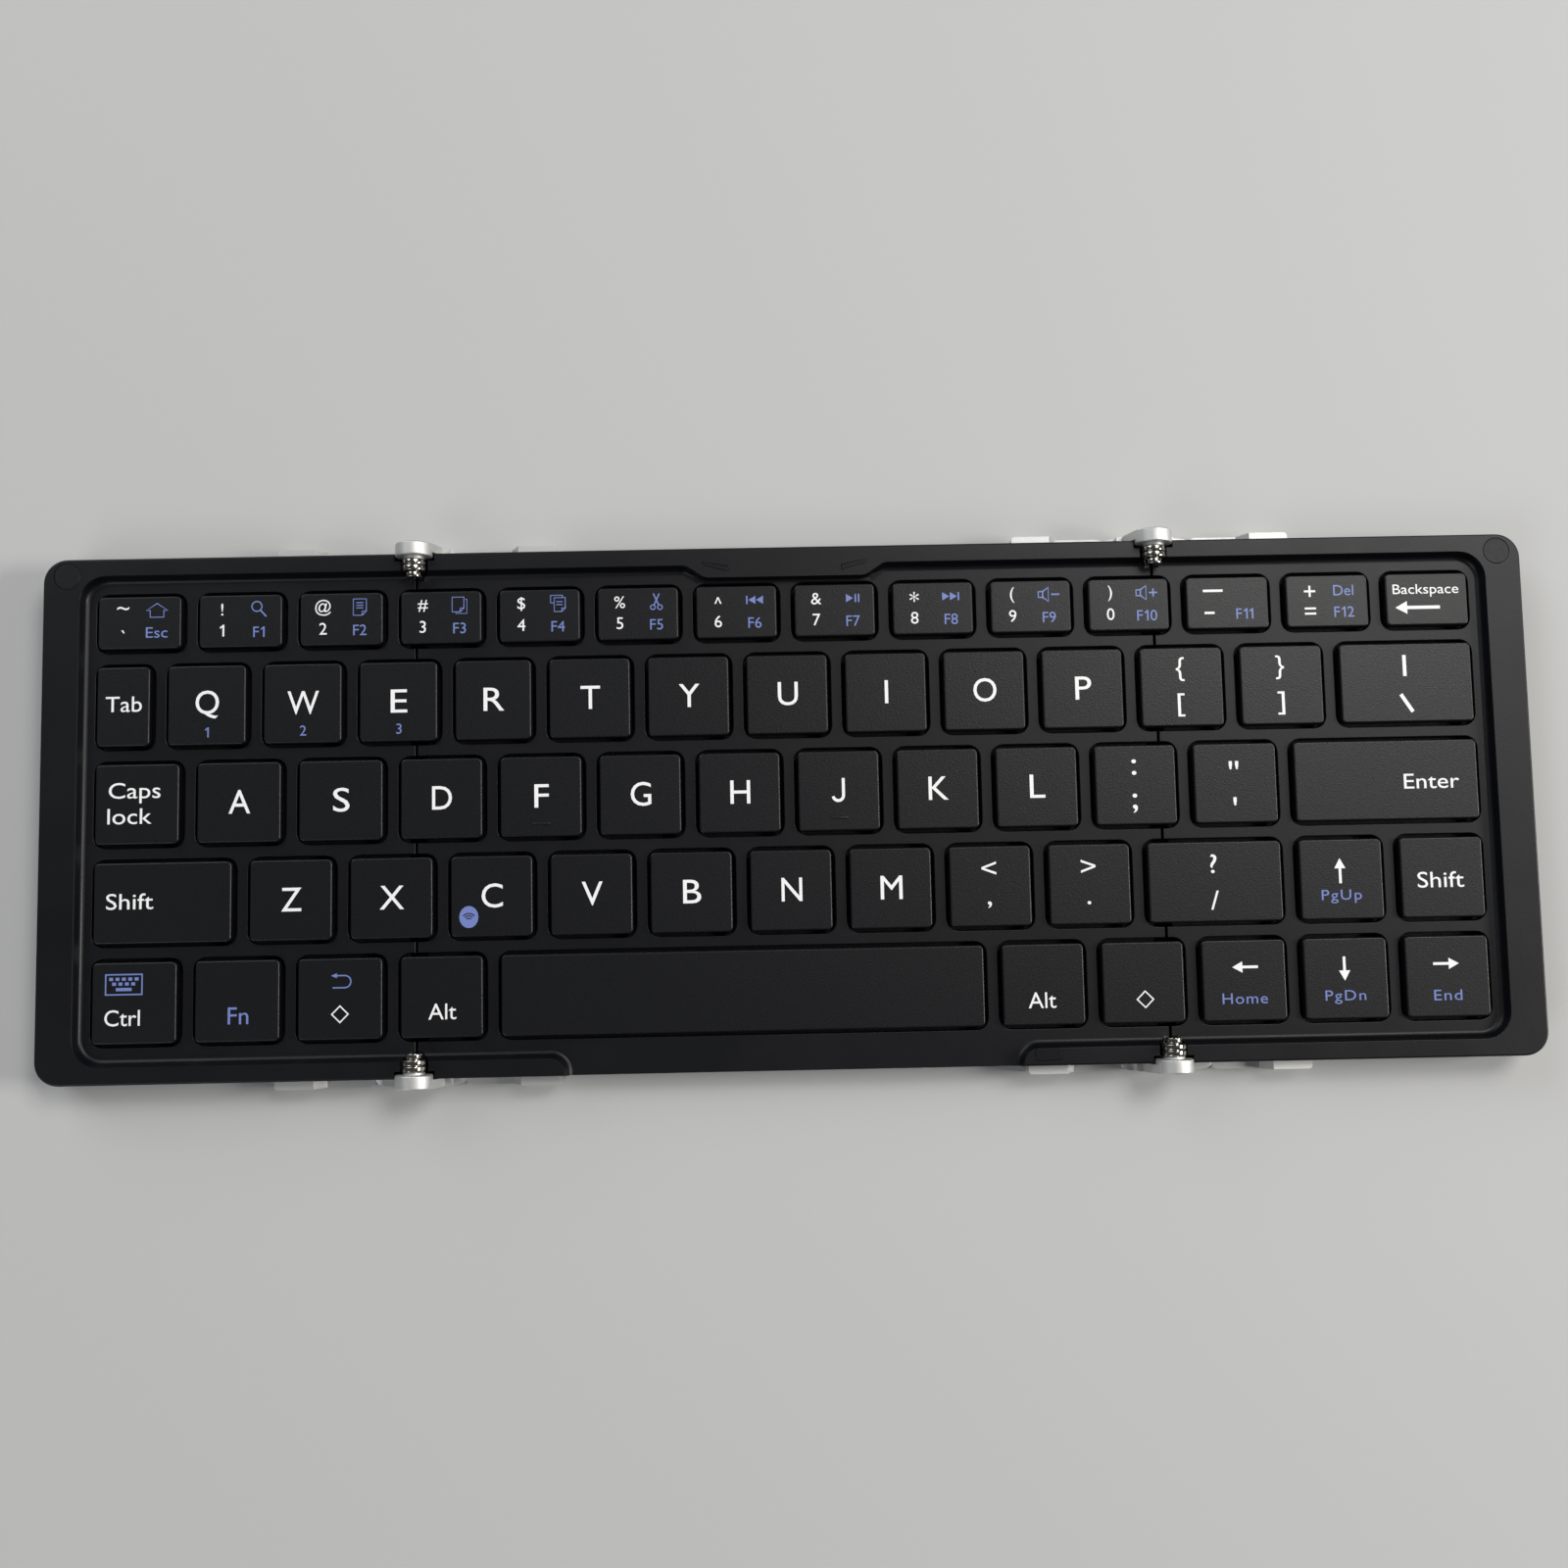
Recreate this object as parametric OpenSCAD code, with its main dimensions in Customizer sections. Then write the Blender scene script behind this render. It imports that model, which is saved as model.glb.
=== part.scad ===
// Three-panel folding keyboard, shown open and lying on a table.
// X runs to the typist's right, Y away from the typist, Z up; the origin is on the table,
// under the middle of the open keyboard.

/* [Key layout] */
// Column pitch on the centre panel
key_pitch = 16.65; // [16.2:0.05:17.2]
// Column pitch on the two wings
wing_pitch = 17; // [16.6:0.05:17.6]
// Row pitch of the four full rows
row_pitch = 16.5; // [16:0.05:17.2]
// Depth of the short number row
number_row_d = 12; // [11.6:0.05:12.8]
// Width of the deck left standing between two key openings
web_w = 1.85; // [1.5:0.05:2]
// Gap between a key cap and its opening, on each side
cap_gap = 0.6; // [0.5:0.05:0.8]
// Corner radius of the key openings
opening_r = 2; // [1.2:0.1:2.6]

/* [Key action] */
// How far a key goes down
key_travel = 1.3; // [1:0.05:1.4]
// Height of the cap tops above the deck
cap_rise = 1.05; // [1:0.05:1.6]
// Thickness of a cap's top
cap_top_t = 0.95; // [0.9:0.05:1.2]
// Thickness of a cap's skirt
cap_wall = 0.8; // [0.6:0.05:0.9]
// Width of the bevel round a cap's top
cap_bevel = 0.3; // [0.2:0.05:0.5]
// Width of a scissor pair
scissor_w = 6.6; // [6.2:0.1:6.8]
// Thickness of the scissor frames
scissor_t = 0.6; // [0.5:0.05:0.7]
// Base radius of a silicone dome
dome_r = 2.1; // [1.8:0.05:2.2]
// Wall of a silicone dome
dome_wall = 0.35; // [0.25:0.05:0.45]
// Length of the raised bar on the two home keys
home_bar_w = 3; // [2:0.1:4]

/* [Panels] */
// Width of the flat rim at the two ends
side_rim = 6.1; // [5.5:0.1:8]
// Width of the flat rim along the front and rear
edge_rim = 2.95; // [2.8:0.05:3.6]
// Width of the slope between rim and deck
rim_slope = 0.95; // [0.6:0.05:1.2]
// Deck left between the end openings and the side slopes
side_margin = 1.425; // [1:0.025:1.8]
// Deck left between the outer rows and the front and rear slopes
edge_margin = 2.025; // [1.8:0.025:2.3]
// Corner radius of the open keyboard
corner_r = 4; // [3:0.1:5]
// Corner radius of the sunken key well
well_r = 3.5; // [2:0.1:4]
// Height of the rim above the deck
rim_rise = 1.75; // [1.7:0.05:2.3]
// Thickness of the deck
deck_t = 2.15; // [1.8:0.05:2.4]
// Thickness of the frame's outer walls
wall_t = 1.4; // [1.2:0.05:1.5]
// Thickness of a frame's wall along the fold
fold_wall = 1.2; // [1:0.05:1.3]
// Plastic left over the hollow of the end rims
rim_skin = 1.5; // [1.2:0.1:2]
// Width of the slit between two panels
fold_slit = 0.4; // [0.35:0.05:0.7]
// Gap between the facing rims when folded
folded_gap = 0.3; // [0.2:0.05:0.6]
// Gap between the ends of the two folded wings
wing_end_gap = 0.4; // [0.2:0.05:1]
// Clearance round everything that swings
swing_gap = 0.35; // [0.25:0.05:0.5]

/* [Front and rear edge] */
// Half the width of the thickened middle of the rear rim
rear_pad_x = 13.6; // [13.5:0.1:16]
// Run of its slanted ends
rear_pad_ramp = 2.8; // [2:0.1:4]
// Depth that the rear rim gains in the middle
rear_pad_d = 1.4; // [1.2:0.05:1.5]
// Half the width of the stretch with no front rim
front_gap_x = 36; // [34:0.1:37.4]
// Corner radius where the front rim ends
front_gap_r = 2.6; // [1.5:0.1:3]

/* [Stack] */
// Height that the rubber feet stand out
foot_h = 0.5; // [0.4:0.05:1]
// Depth of the recess that holds a foot
foot_recess = 0.3; // [0.2:0.05:0.4]
// Radius of a foot
foot_r = 4; // [3:0.1:5]
// Distance from a panel's edges to the middle of its feet
foot_inset = 9; // [8:0.5:12]
// Thickness of the back covers
cover_t = 0.8; // [0.7:0.05:1.2]
// Room between back cover and key plate
bay_h = 1.6; // [1.5:0.05:2.4]
// Thickness of the steel key plates
plate_t = 0.4; // [0.3:0.05:0.5]
// Thickness of the switch membranes
membrane_t = 0.3; // [0.2:0.05:0.4]
// Margin of plate and membrane round the openings
plate_margin = 1.175; // [0.9:0.025:1.3]
// Distance from the fold axis to plate and membrane
plate_fold_x = 1.55; // [1.5:0.05:1.7]
// Radius of the heat-staked posts under the deck
stake_r = 0.6; // [0.4:0.05:0.65]
// Radius of their melted heads
stake_head_r = 0.9; // [0.8:0.05:1.2]
// Height of their melted heads
stake_head_h = 0.4; // [0.2:0.05:0.6]

/* [Hinges] */
// Radius of the knuckle caps
knuckle_r = 3.1; // [2.8:0.05:3.4]
// Length of the knuckle caps along the fold
knuckle_len = 2.7; // [2.4:0.05:3]
// How far the arms stand out of the front and rear edge
arm_proud = 1.55; // [1.2:0.05:2]
// Thickness of the arms' outer bars
arm_t = 1.45; // [1.1:0.05:1.5]
// Reach of an arm from the fold axis
arm_reach = 23.7; // [22:0.1:26]
// Length of the raised block at an arm's end
arm_block_l = 6.5; // [5:0.1:8]
// Height of that block above the cover's underside
arm_block_h = 4.5; // [3.5:0.1:5.2]
// Height of the low stretch above the cover's underside
arm_low_h = 1.5; // [1.2:0.05:1.8]
// Length of the slope between them
arm_slope_l = 1.5; // [1:0.1:3]
// Distance from the fold axis to the groove across an arm
arm_groove_x = 7.6; // [7.3:0.1:8.4]
// Radius of the flange and the friction washer
ring_r = 2; // [1.9:0.05:2.1]
// Thickness of the flange, the washer and the pin's head
ring_t = 0.9; // [0.8:0.02:0.94]
// Gap between neighbouring rings
ring_gap = 0.13; // [0.1:0.01:0.15]
// Radius of the hinge pin's shank
pin_r = 1; // [0.8:0.05:1.1]
// Radius of the hinge pin's head
pin_head_r = 1.4; // [1.3:0.05:1.6]
// Radial clearance of flange and washer on the pin
pin_play = 0.05; // [0.03:0.01:0.08]

/* [Small parts] */
// Radius of the holding magnets
magnet_r = 2.2; // [1.8:0.05:2.3]
// Thickness of the holding magnets
magnet_t = 1.5; // [1:0.05:1.6]
// Distance from a wing's end to the middle of its magnet
magnet_in_x = 4; // [3.8:0.05:4.3]
// Distance from the rear edge to the middle of the magnets
magnet_in_y = 2.9; // [2.8:0.05:3.2]
// Radius of the screws' thread
screw_r = 0.55; // [0.5:0.05:0.6]
// Radius of the screws' heads
screw_head_r = 1.2; // [1:0.05:1.3]
// Thickness of the screws' heads
screw_head_t = 0.4; // [0.3:0.05:0.5]
// Length of the screws' threads past the head
screw_len = 1.75; // [1.6:0.05:1.9]
// Radius of the screw bosses
boss_r = 1.4; // [1.25:0.05:1.5]
// Width of the charging socket
usb_w = 7.5; // [7.3:0.1:8]
// Height of the charging socket
usb_h = 2.6; // [2.4:0.05:2.65]
// Depth of the charging socket
usb_d = 4.5; // [4:0.1:4.6]
// Thickness of the charging socket's shell
usb_wall = 0.3; // [0.2:0.05:0.4]
// Thickness of the main board
board_t = 0.8; // [0.6:0.05:1]
// Width of the main board
board_w = 60; // [50:1:66]
// Depth of the main board
board_d = 24; // [20:1:28]
// Width of the battery
battery_w = 62; // [50:1:70]
// Depth of the battery
battery_d = 40; // [30:1:44]
// Width of the flat cables over the folds
flex_w = 12; // [8:0.5:13]
// Thickness of the flat cables
flex_t = 0.1; // [0.08:0.01:0.15]
// How far a flat cable runs in on each side of the fold
flex_reach = 14; // [10:0.5:20]
// Depth of the inserts in the rim
insert_t = 0.8; // [0.6:0.05:1]
// Length of the two leaf-shaped indicator windows
leaf_l = 4.4; // [3.6:0.1:5]
// Width of the indicator windows
leaf_w = 1.6; // [1.2:0.1:1.8]
// Distance from the middle to the indicator windows
leaf_x = 11.8; // [11:0.1:12.2]
// Distance from the rear edge to the middle of the indicator windows
leaf_in_y = 3.3; // [2.6:0.1:3.6]
// Length of the fold sensor's cover
sensor_l = 4.5; // [3.5:0.1:5]
// Width of the fold sensor's cover
sensor_w = 2; // [1.6:0.1:2.2]
// Distance from the middle to the fold sensor's cover
sensor_x = 42; // [41.5:0.1:46]
// Distance from the front edge to the middle of the fold sensor's cover
sensor_in_y = 1.9; // [1.6:0.1:1.9]

/* [Hidden] */

$fn = 48;
e = 0.01;                 // overshoot of a cut past a face
fit = 0.05;               // gap round a glued or pressed-in piece
slip = 0.15;              // gap round a piece dropped into a pocket
LEFT = -1;
CENTRE = 0;
RIGHT = 1;

// Each row: widths of the left wing's keys, columns from the middle to the left wing's first key,
// widths of the centre's keys, columns to the right wing's first key, widths of the right wing's keys.
// Widths are in key units; a wing's keys share what its row has left.
ROWS = [
    [[1, 1, 1], 4, [1, 1, 1, 1, 1, 1, 1, 1], 4, [1, 1, 1]],
    [[0.74, 1, 1, 1], 3.45, [0.95, 1, 1, 1, 1, 1, 1], 3.5, [1, 1, 1.5]],
    [[1, 1, 1], 4, [1, 1, 1, 1, 1, 1, 1, 1], 4, [1, 2]],
    [[1.55, 1, 1], 3.5, [1, 1, 1, 1, 1, 1, 1], 3.5, [1.5, 1, 1]],
    [[1, 1, 1], 4, [1, 5, 1, 1], 4, [1, 1, 1]]];
NUMBER_ROW = 0;
LAST_ROW = len(ROWS) - 1;

// heights
cover_z = foot_h;
bay_z = cover_z + cover_t;
plate_z = bay_z + bay_h;
membrane_z = plate_z + plate_t;
deck_z0 = membrane_z + membrane_t;
deck_z = deck_z0 + deck_t;
rim_z = deck_z + rim_rise;
cap_z = deck_z + cap_rise;
press_gap = 0.2;          // room left under a pressed cap
cap_z0 = deck_z0 + key_travel + press_gap;
ceiling_z = cap_z - cap_top_t;
axis_z = rim_z + folded_gap / 2;

// plan sizes
rows_d = number_row_d + LAST_ROW * row_pitch;
rows_y = rows_d / 2 + 0.1;                    // rear end of the rows; they sit a hair to the rear
keys_x = 4 * key_pitch + 3 * wing_pitch;      // outer end of the key rows
half_w = keys_x - web_w / 2 + side_margin + rim_slope + side_rim;
half_d = rows_d / 2 - web_w / 2 + edge_margin + rim_slope + edge_rim;
fold_x = half_w / 2 + wing_end_gap / 4;
well_x = half_w - side_rim - rim_slope;
well_y = half_d - edge_rim - rim_slope;
plate_x = keys_x - web_w / 2 + plate_margin;
plate_y = well_y - edge_margin + plate_margin;
cavity_y = half_d - wall_t;

function total(v, n) = n <= 0 ? 0 : v[n - 1] + total(v, n - 1);
function row_y1(r) = r == NUMBER_ROW ? rows_y : rows_y - number_row_d - (r - 1) * row_pitch;
function row_depth(r) = r == NUMBER_ROW ? number_row_d : row_pitch;

// x of the left end of key i, counted from the left in its panel's part of row r
function key_x0(r, panel, i) = let (row = ROWS[r], share = total(row[panel + 1 + (panel >= 0 ? 1 : 0)
        + (panel > 0 ? 1 : 0)], i))
    panel == CENTRE ? (share - row[1]) * key_pitch :
    panel == LEFT ? -keys_x + share * (keys_x - row[1] * key_pitch) / total(row[0], len(row[0])) :
    row[3] * key_pitch + share * (keys_x - row[3] * key_pitch) / total(row[4], len(row[4]));
function key_count(r, panel) = len(ROWS[r][2 * (panel + 1)]);

// every key as [x, y, width, depth of its opening, panel, row, place in the row]
KEYS = [for (r = [0 : LAST_ROW]) for (panel = [LEFT : RIGHT]) for (i = [0 : key_count(r, panel) - 1])
    let (x0 = key_x0(r, panel, i), x1 = key_x0(r, panel, i + 1))
    [(x0 + x1) / 2, row_y1(r) - row_depth(r) / 2, x1 - x0 - web_w, row_depth(r) - web_w, panel, r, i]];

// x of the middle of a key's action, which stays on its own panel's plate, and how many it has
action_wall = cap_gap + cap_wall + slip;
function action_x0(k) = max(k[0] - k[2] / 2 + action_wall,
    k[4] == CENTRE ? -fold_x + plate_fold_x + slip : k[4] == RIGHT ? fold_x + plate_fold_x + slip : -keys_x);
function action_x1(k) = min(k[0] + k[2] / 2 - action_wall,
    k[4] == CENTRE ? fold_x - plate_fold_x - slip : k[4] == LEFT ? -fold_x - plate_fold_x - slip : keys_x);
function action_count(k) = k[2] > 60 ? 3 : k[2] > 28 ? 2 : 1;

// outline of a rectangle with rounded corners, as points
function rounded(w, d, r, n = 4) = [for (c = [0 : 3]) for (i = [0 : n])
    let (a = 90 * (c + i / n), sx = c == 0 || c == 3 ? 1 : -1, sy = c < 2 ? 1 : -1)
    [sx * (w / 2 - r) + r * cos(a), sy * (d / 2 - r) + r * sin(a)]];
function quarter(x, y, rx, ry, a0, n = 6) = [for (i = [0 : n])
    [x + rx * cos(a0 - 90 * i / n), y + ry * sin(a0 - 90 * i / n)]];

// ---------------------------------------------------------------- shared shapes

module rounded_block(w, d, r, z0, z1) {
    translate([0, 0, z0]) linear_extrude(z1 - z0) {
        square([w - 2 * r, d], center = true);
        square([w, d - 2 * r], center = true);
        for (sx = [-1, 1]) for (sy = [-1, 1]) translate([sx * (w / 2 - r), sy * (d / 2 - r)]) circle(r);
    }
}

module span(x0, x1, y0, y1, z0, z1) {
    translate([x0, y0, z0]) cube([x1 - x0, y1 - y0, z1 - z0]);
}

// x range of a panel, drawn in by `inset` from the fold and free at the outer end
function panel_x0(panel, inset) = panel == LEFT ? -half_w - 1 : panel == CENTRE ? -fold_x + inset : fold_x + inset;
function panel_x1(panel, inset) = panel == LEFT ? -fold_x - inset : panel == CENTRE ? fold_x - inset : half_w + 1;

// a panel's slab; `inset` draws it in from the outline and `fold_inset` from the fold axis
module panel_slab(panel, z0, z1, inset, fold_inset) {
    intersection() {
        rounded_block(2 * (half_w - inset), 2 * (half_d - inset), corner_r - inset, z0, z1);
        span(panel_x0(panel, fold_inset), panel_x1(panel, fold_inset), -half_d, half_d, z0 - 1, z1 + 1);
    }
}

// a piece at a hinge: x away from the fold on the panel's side, y from the middle of the body outwards
module at_hinge(side, end, outwards) {
    translate([side * fold_x, 0, 0]) mirror([side * outwards < 0 ? 1 : 0, 0, 0])
        mirror([0, end < 0 ? 1 : 0, 0]) children();
}

// a round bar along Y, between two distances from the middle
module y_rod(r, y0, y1) {
    translate([0, y1, axis_z]) rotate([90, 0, 0]) cylinder(r = r, h = y1 - y0);
}

// the room that the caps reaching over a fold need, on the panel that they reach over
module swing_space(panel) {
    for (k = KEYS) for (side = [LEFT, RIGHT]) {
        over = k[2] / 2 - cap_gap - abs(k[0] - side * fold_x);
        near = k[4] != panel && (panel == CENTRE ? k[4] == side : k[4] == CENTRE && panel == side);
        d = k[3] - 2 * (cap_gap - swing_gap);
        if (near && over > 0) translate([side * fold_x, k[1] + d / 2, axis_z]) rotate([90, 0, 0])
            cylinder(r = norm([over, axis_z - cap_z0]) + swing_gap, h = d);
    }
}

// ---------------------------------------------------------------- hinges

knuckle_y1 = half_d + arm_proud;
knuckle_y0 = knuckle_y1 - knuckle_len;
flange_y = knuckle_y0 - ring_gap - ring_t;       // inner face of the wing arm's flange
washer_y = flange_y - ring_gap - ring_t;
head_y = washer_y - ring_gap - ring_t;
arm_y0 = knuckle_y1 - arm_t;
arm_foot_z = cover_z;
arm_low_z = arm_foot_z + arm_low_h;
wing_arm_x = knuckle_r + 0.3;                    // start of a wing arm, clear of the knuckle's block
shoulder_x = 5.3;                                // where an arm's shoulder starts to round off
plate_end_x = 5.2;                               // end of the tail beside a centre arm's knuckle
groove_t = 0.45;                                 // metal left behind the groove
tab_x1 = 8.6;                                    // outer end of the screwed tabs
tab_x = 6;                                       // their screws
tab_y0 = half_d - 4.2;
tab_screw_y = half_d - 2.4;
tab_z1 = plate_z - 0.1;
lug_x = 4;                                       // width of the lug that carries the flange
end_r = 0.6;                                     // rounding of the bars' ends, seen from above

// the bar's shape seen from above, as distance from the fold and from the arm's inner face
function bar_plan(x0) = concat([[x0, 0], [x0, arm_t]],
    quarter(shoulder_x, groove_t, arm_groove_x - shoulder_x, arm_t - groove_t, 90),
    quarter(arm_groove_x + 2 * end_r, arm_t - end_r, end_r * 1.6, end_r, 180),
    quarter(arm_reach - end_r, arm_t - end_r, end_r, end_r, 90),
    [[arm_reach, 0]]);

// the bar's shape seen from the front, as distance from the fold and height
function bar_side(x0) = [[x0, arm_foot_z], [arm_reach, arm_foot_z],
    [arm_reach, arm_foot_z + arm_block_h], [arm_reach - arm_block_l, arm_foot_z + arm_block_h],
    [arm_reach - arm_block_l - arm_slope_l, arm_low_z], [x0, arm_low_z]];

module front_plate(points, y0, y1) {
    translate([0, y1, 0]) rotate([90, 0, 0]) linear_extrude(y1 - y0) polygon(points);
}

module arm_bar(x0) {
    intersection() {
        front_plate(bar_side(x0), arm_y0, knuckle_y1);
        translate([0, arm_y0, 0]) linear_extrude(rim_z) polygon(bar_plan(x0));
    }
}

module tab(x0) {
    difference() {
        span(x0, tab_x1, tab_y0, arm_y0 + e, bay_z, tab_z1);
        translate([tab_x, tab_screw_y, bay_z - 1]) cylinder(r = screw_r + fit, h = bay_h + 2);
    }
}

module wing_arm() {
    arm_bar(wing_arm_x);
    tab(wing_arm_x);
    // block beside the knuckle
    span(wing_arm_x, wing_arm_x + 1.1, arm_y0, knuckle_y1, arm_foot_z, arm_low_z + 1.2);
    // lug and flange, between the knuckle and the friction washer
    difference() {
        union() {
            y_rod(ring_r, flange_y, flange_y + ring_t);
            front_plate([[0.6, bay_z], [lug_x, bay_z], [lug_x, tab_z1], [ring_r * 0.9, axis_z - 1.2],
                [0.6, axis_z - 1.2]], flange_y, flange_y + ring_t);
        }
        y_rod(pin_r + pin_play, flange_y - 1, flange_y + ring_t + 1);
    }
    span(0.6, wing_arm_x + e, flange_y, flange_y + ring_t, bay_z, tab_z1);
}

module centre_arm() {
    arm_bar(-knuckle_r + 0.5);
    tab(wing_arm_x);
    difference() {
        union() {
            y_rod(knuckle_r, knuckle_y0, knuckle_y1);
            front_plate([[-knuckle_r + 0.5, arm_foot_z], [plate_end_x, arm_foot_z],
                [plate_end_x, arm_low_z + 1.6], [knuckle_r + 1.1, arm_low_z + 2.4],
                [knuckle_r + 0.4, axis_z - 0.6], [knuckle_r * 0.86, axis_z + knuckle_r * 0.5],
                [-knuckle_r + 0.5, axis_z]], arm_y0, knuckle_y1);
        }
        y_rod(pin_r + fit / 2, knuckle_y0 - 1, knuckle_y1 - 0.5);
    }
}

module hinge_pin() {
    y_rod(pin_r, head_y, knuckle_y1 - 0.6);
    y_rod(pin_head_r, head_y, head_y + ring_t);
}

module hinge_washer() {
    difference() {
        y_rod(ring_r, washer_y, washer_y + ring_t);
        y_rod(pin_r + pin_play, washer_y - 1, washer_y + ring_t + 1);
    }
}

// everything that a frame leaves free for the hinge at one end of one fold
module hinge_pocket(wing) {
    y_rod(knuckle_r + 0.25, knuckle_y0 - slip, half_d + 1);
    y_rod(ring_r + 0.3, head_y - slip, knuckle_y0);
    span(wing ? 0 : wing_arm_x - slip, tab_x1 + slip, tab_y0 - slip, arm_y0 + 1, bay_z - 1, tab_z1 + slip);
    span(wing ? 0 : -1, lug_x + slip, flange_y - slip, flange_y + ring_t + slip, bay_z - 1,
        wing ? rim_z - 1 : bay_z - 0.5);
}

// ---------------------------------------------------------------- frames

function feet_x(panel) = panel == CENTRE ? [-fold_x + 2 * foot_inset, fold_x - 2 * foot_inset] :
    [panel * (fold_x + foot_inset), panel * (half_w - foot_inset)];
function feet_places(panel) = [for (x = feet_x(panel)) for (s = [-1, 1]) [x, s * (half_d - foot_inset)]];

boss_side_x = half_w - wall_t - boss_r - 0.9;    // wing bosses, in the hollow of the end rim
boss_side_y = 30;
boss_edge_y = cavity_y - boss_r - 0.1;           // centre bosses, in front of and behind the plate
boss_mid_x = 28;
function boss_places(panel) = panel == CENTRE ?
    [for (sx = [-1, 1]) for (sy = [-1, 1]) [sx * boss_mid_x, sy * boss_edge_y]] :
    [for (sy = [-1, 1]) [panel * boss_side_x, sy * boss_side_y]];
function screw_places(panel) = concat(boss_places(panel),
    [for (side = panel == CENTRE ? [-1, 1] : [panel]) for (s = [-1, 1])
        [side * (fold_x + (panel == CENTRE ? -1 : 1) * tab_x), s * tab_screw_y]]);

stake_x = [1.25, 2.5, 3.2];                      // stakes, in columns from the middle of the centre panel
function stake_places(panel) = [for (r = [1 : LAST_ROW])
    for (x = panel == CENTRE ? [for (s = [-1, 1]) for (c = stake_x) s * c * key_pitch] :
        [for (c = [0.6, 2.4]) panel * (keys_x - c * wing_pitch)])
    [x, row_y1(r)]];

module stakes(panel) {
    for (p = stake_places(panel)) translate([p[0], p[1], 0]) {
        translate([0, 0, plate_z - stake_head_h]) cylinder(r = stake_r, h = deck_z0 - plate_z + stake_head_h + e);
        translate([0, 0, plate_z - stake_head_h]) cylinder(r = stake_head_r, h = stake_head_h);
    }
}

module stake_holes(panel) {
    for (p = stake_places(panel)) translate([p[0], p[1], plate_z - 1])
        cylinder(r = stake_r + fit, h = plate_t + membrane_t + 2);
}

// the sunken well for the keys, its slope, the thick middle of the rear rim and the open front
module well() {
    difference() {
        hull() {
            translate([0, 0, deck_z]) linear_extrude(e) polygon(rounded(2 * well_x, 2 * well_y, well_r, 8));
            translate([0, 0, rim_z]) linear_extrude(e)
                polygon(rounded(2 * (well_x + rim_slope), 2 * (well_y + rim_slope), well_r + rim_slope, 8));
        }
        pad_y = well_y - rear_pad_d;
        translate([0, 0, deck_z - 1]) linear_extrude(rim_rise + 2) polygon([
            [-rear_pad_x - rear_pad_ramp, half_d], [-rear_pad_x - rear_pad_ramp, well_y + rim_slope],
            [-rear_pad_x, pad_y], [rear_pad_x, pad_y],
            [rear_pad_x + rear_pad_ramp, well_y + rim_slope], [rear_pad_x + rear_pad_ramp, half_d]]);
    }
    hull() {
        translate([0, -half_d, deck_z]) linear_extrude(e)
            polygon(rounded(2 * (front_gap_x + rim_slope), 6 * edge_rim, 0.5, 2));
        translate([0, -half_d, rim_z]) linear_extrude(e)
            polygon(rounded(2 * (front_gap_x + 2 * rim_slope), 6 * edge_rim, 0.5, 2));
    }
    for (s = [-1, 1]) front_fillet(s);
}

// rounds the corner between the front gap and the well, a little short of tangent
module front_fillet(s) {
    r = front_gap_r + rim_slope;
    mirror([s < 0 ? 1 : 0, 0, 0]) translate([front_gap_x + rim_slope, -well_y, deck_z]) difference() {
        span(-e, r, -r, e, 0, rim_rise + 1);
        translate([r - short_of_tangent, short_of_tangent - r, 0])
            cylinder(r1 = r, r2 = r - 2 * rim_slope, h = 2 * rim_rise);
    }
}
short_of_tangent = 0.1;

module key_openings(panel) {
    for (k = KEYS) if (k[4] == panel || (k[4] == CENTRE) != (panel == CENTRE))
        translate([k[0], k[1], deck_z0 - 1]) linear_extrude(rim_z) polygon(rounded(k[2], k[3], opening_r));
}

module frame(panel) {
    difference() {
        union() {
            difference() {
                panel_slab(panel, bay_z, rim_z, 0, fold_slit / 2);
                panel_slab(panel, bay_z - 1, deck_z0, wall_t, fold_slit / 2 + fold_wall);
                if (panel != CENTRE) side_hollow(panel);
            }
            stakes(panel);
            for (p = boss_places(panel)) translate([p[0], p[1], bay_z])
                cylinder(r = boss_r, h = (panel == CENTRE ? deck_z0 : rim_z - rim_skin) - bay_z + e);
        }
        well();
        key_openings(panel);
        swing_space(panel);
        for (side = panel == CENTRE ? [-1, 1] : [panel]) for (end = [-1, 1])
            at_hinge(side, end, panel == CENTRE ? -1 : 1) hinge_pocket(panel != CENTRE);
        for (p = boss_places(panel)) translate([p[0], p[1], bay_z - 1])
            cylinder(r = screw_r + fit, h = screw_len + 1.2);
        flex_slots(panel);
        if (panel == CENTRE) centre_pockets();
        else magnet_space(panel * (half_w - magnet_in_x), rim_z - magnet_t, rim_z + 1);
    }
}

module side_hollow(panel) {
    x0 = well_x + rim_slope;
    x1 = half_w - wall_t;
    y1 = half_d - corner_r - wall_t;
    span(panel == LEFT ? -x1 : x0, panel == LEFT ? -x0 : x1, -y1, y1, deck_z0 - 1, rim_z - rim_skin);
}

module magnet_space(x, z0, z1) {
    translate([x, half_d - magnet_in_y, z0]) cylinder(r = magnet_r + fit, h = z1 - z0);
}

module flex_slots(panel) {
    for (side = panel == CENTRE ? [-1, 1] : [panel])
        translate([side * fold_x, flex_y, plate_z - 0.5])
            cube([2 * (fold_slit + fold_wall) + 1, flex_w + 1, 1.2], center = true);
}

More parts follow.
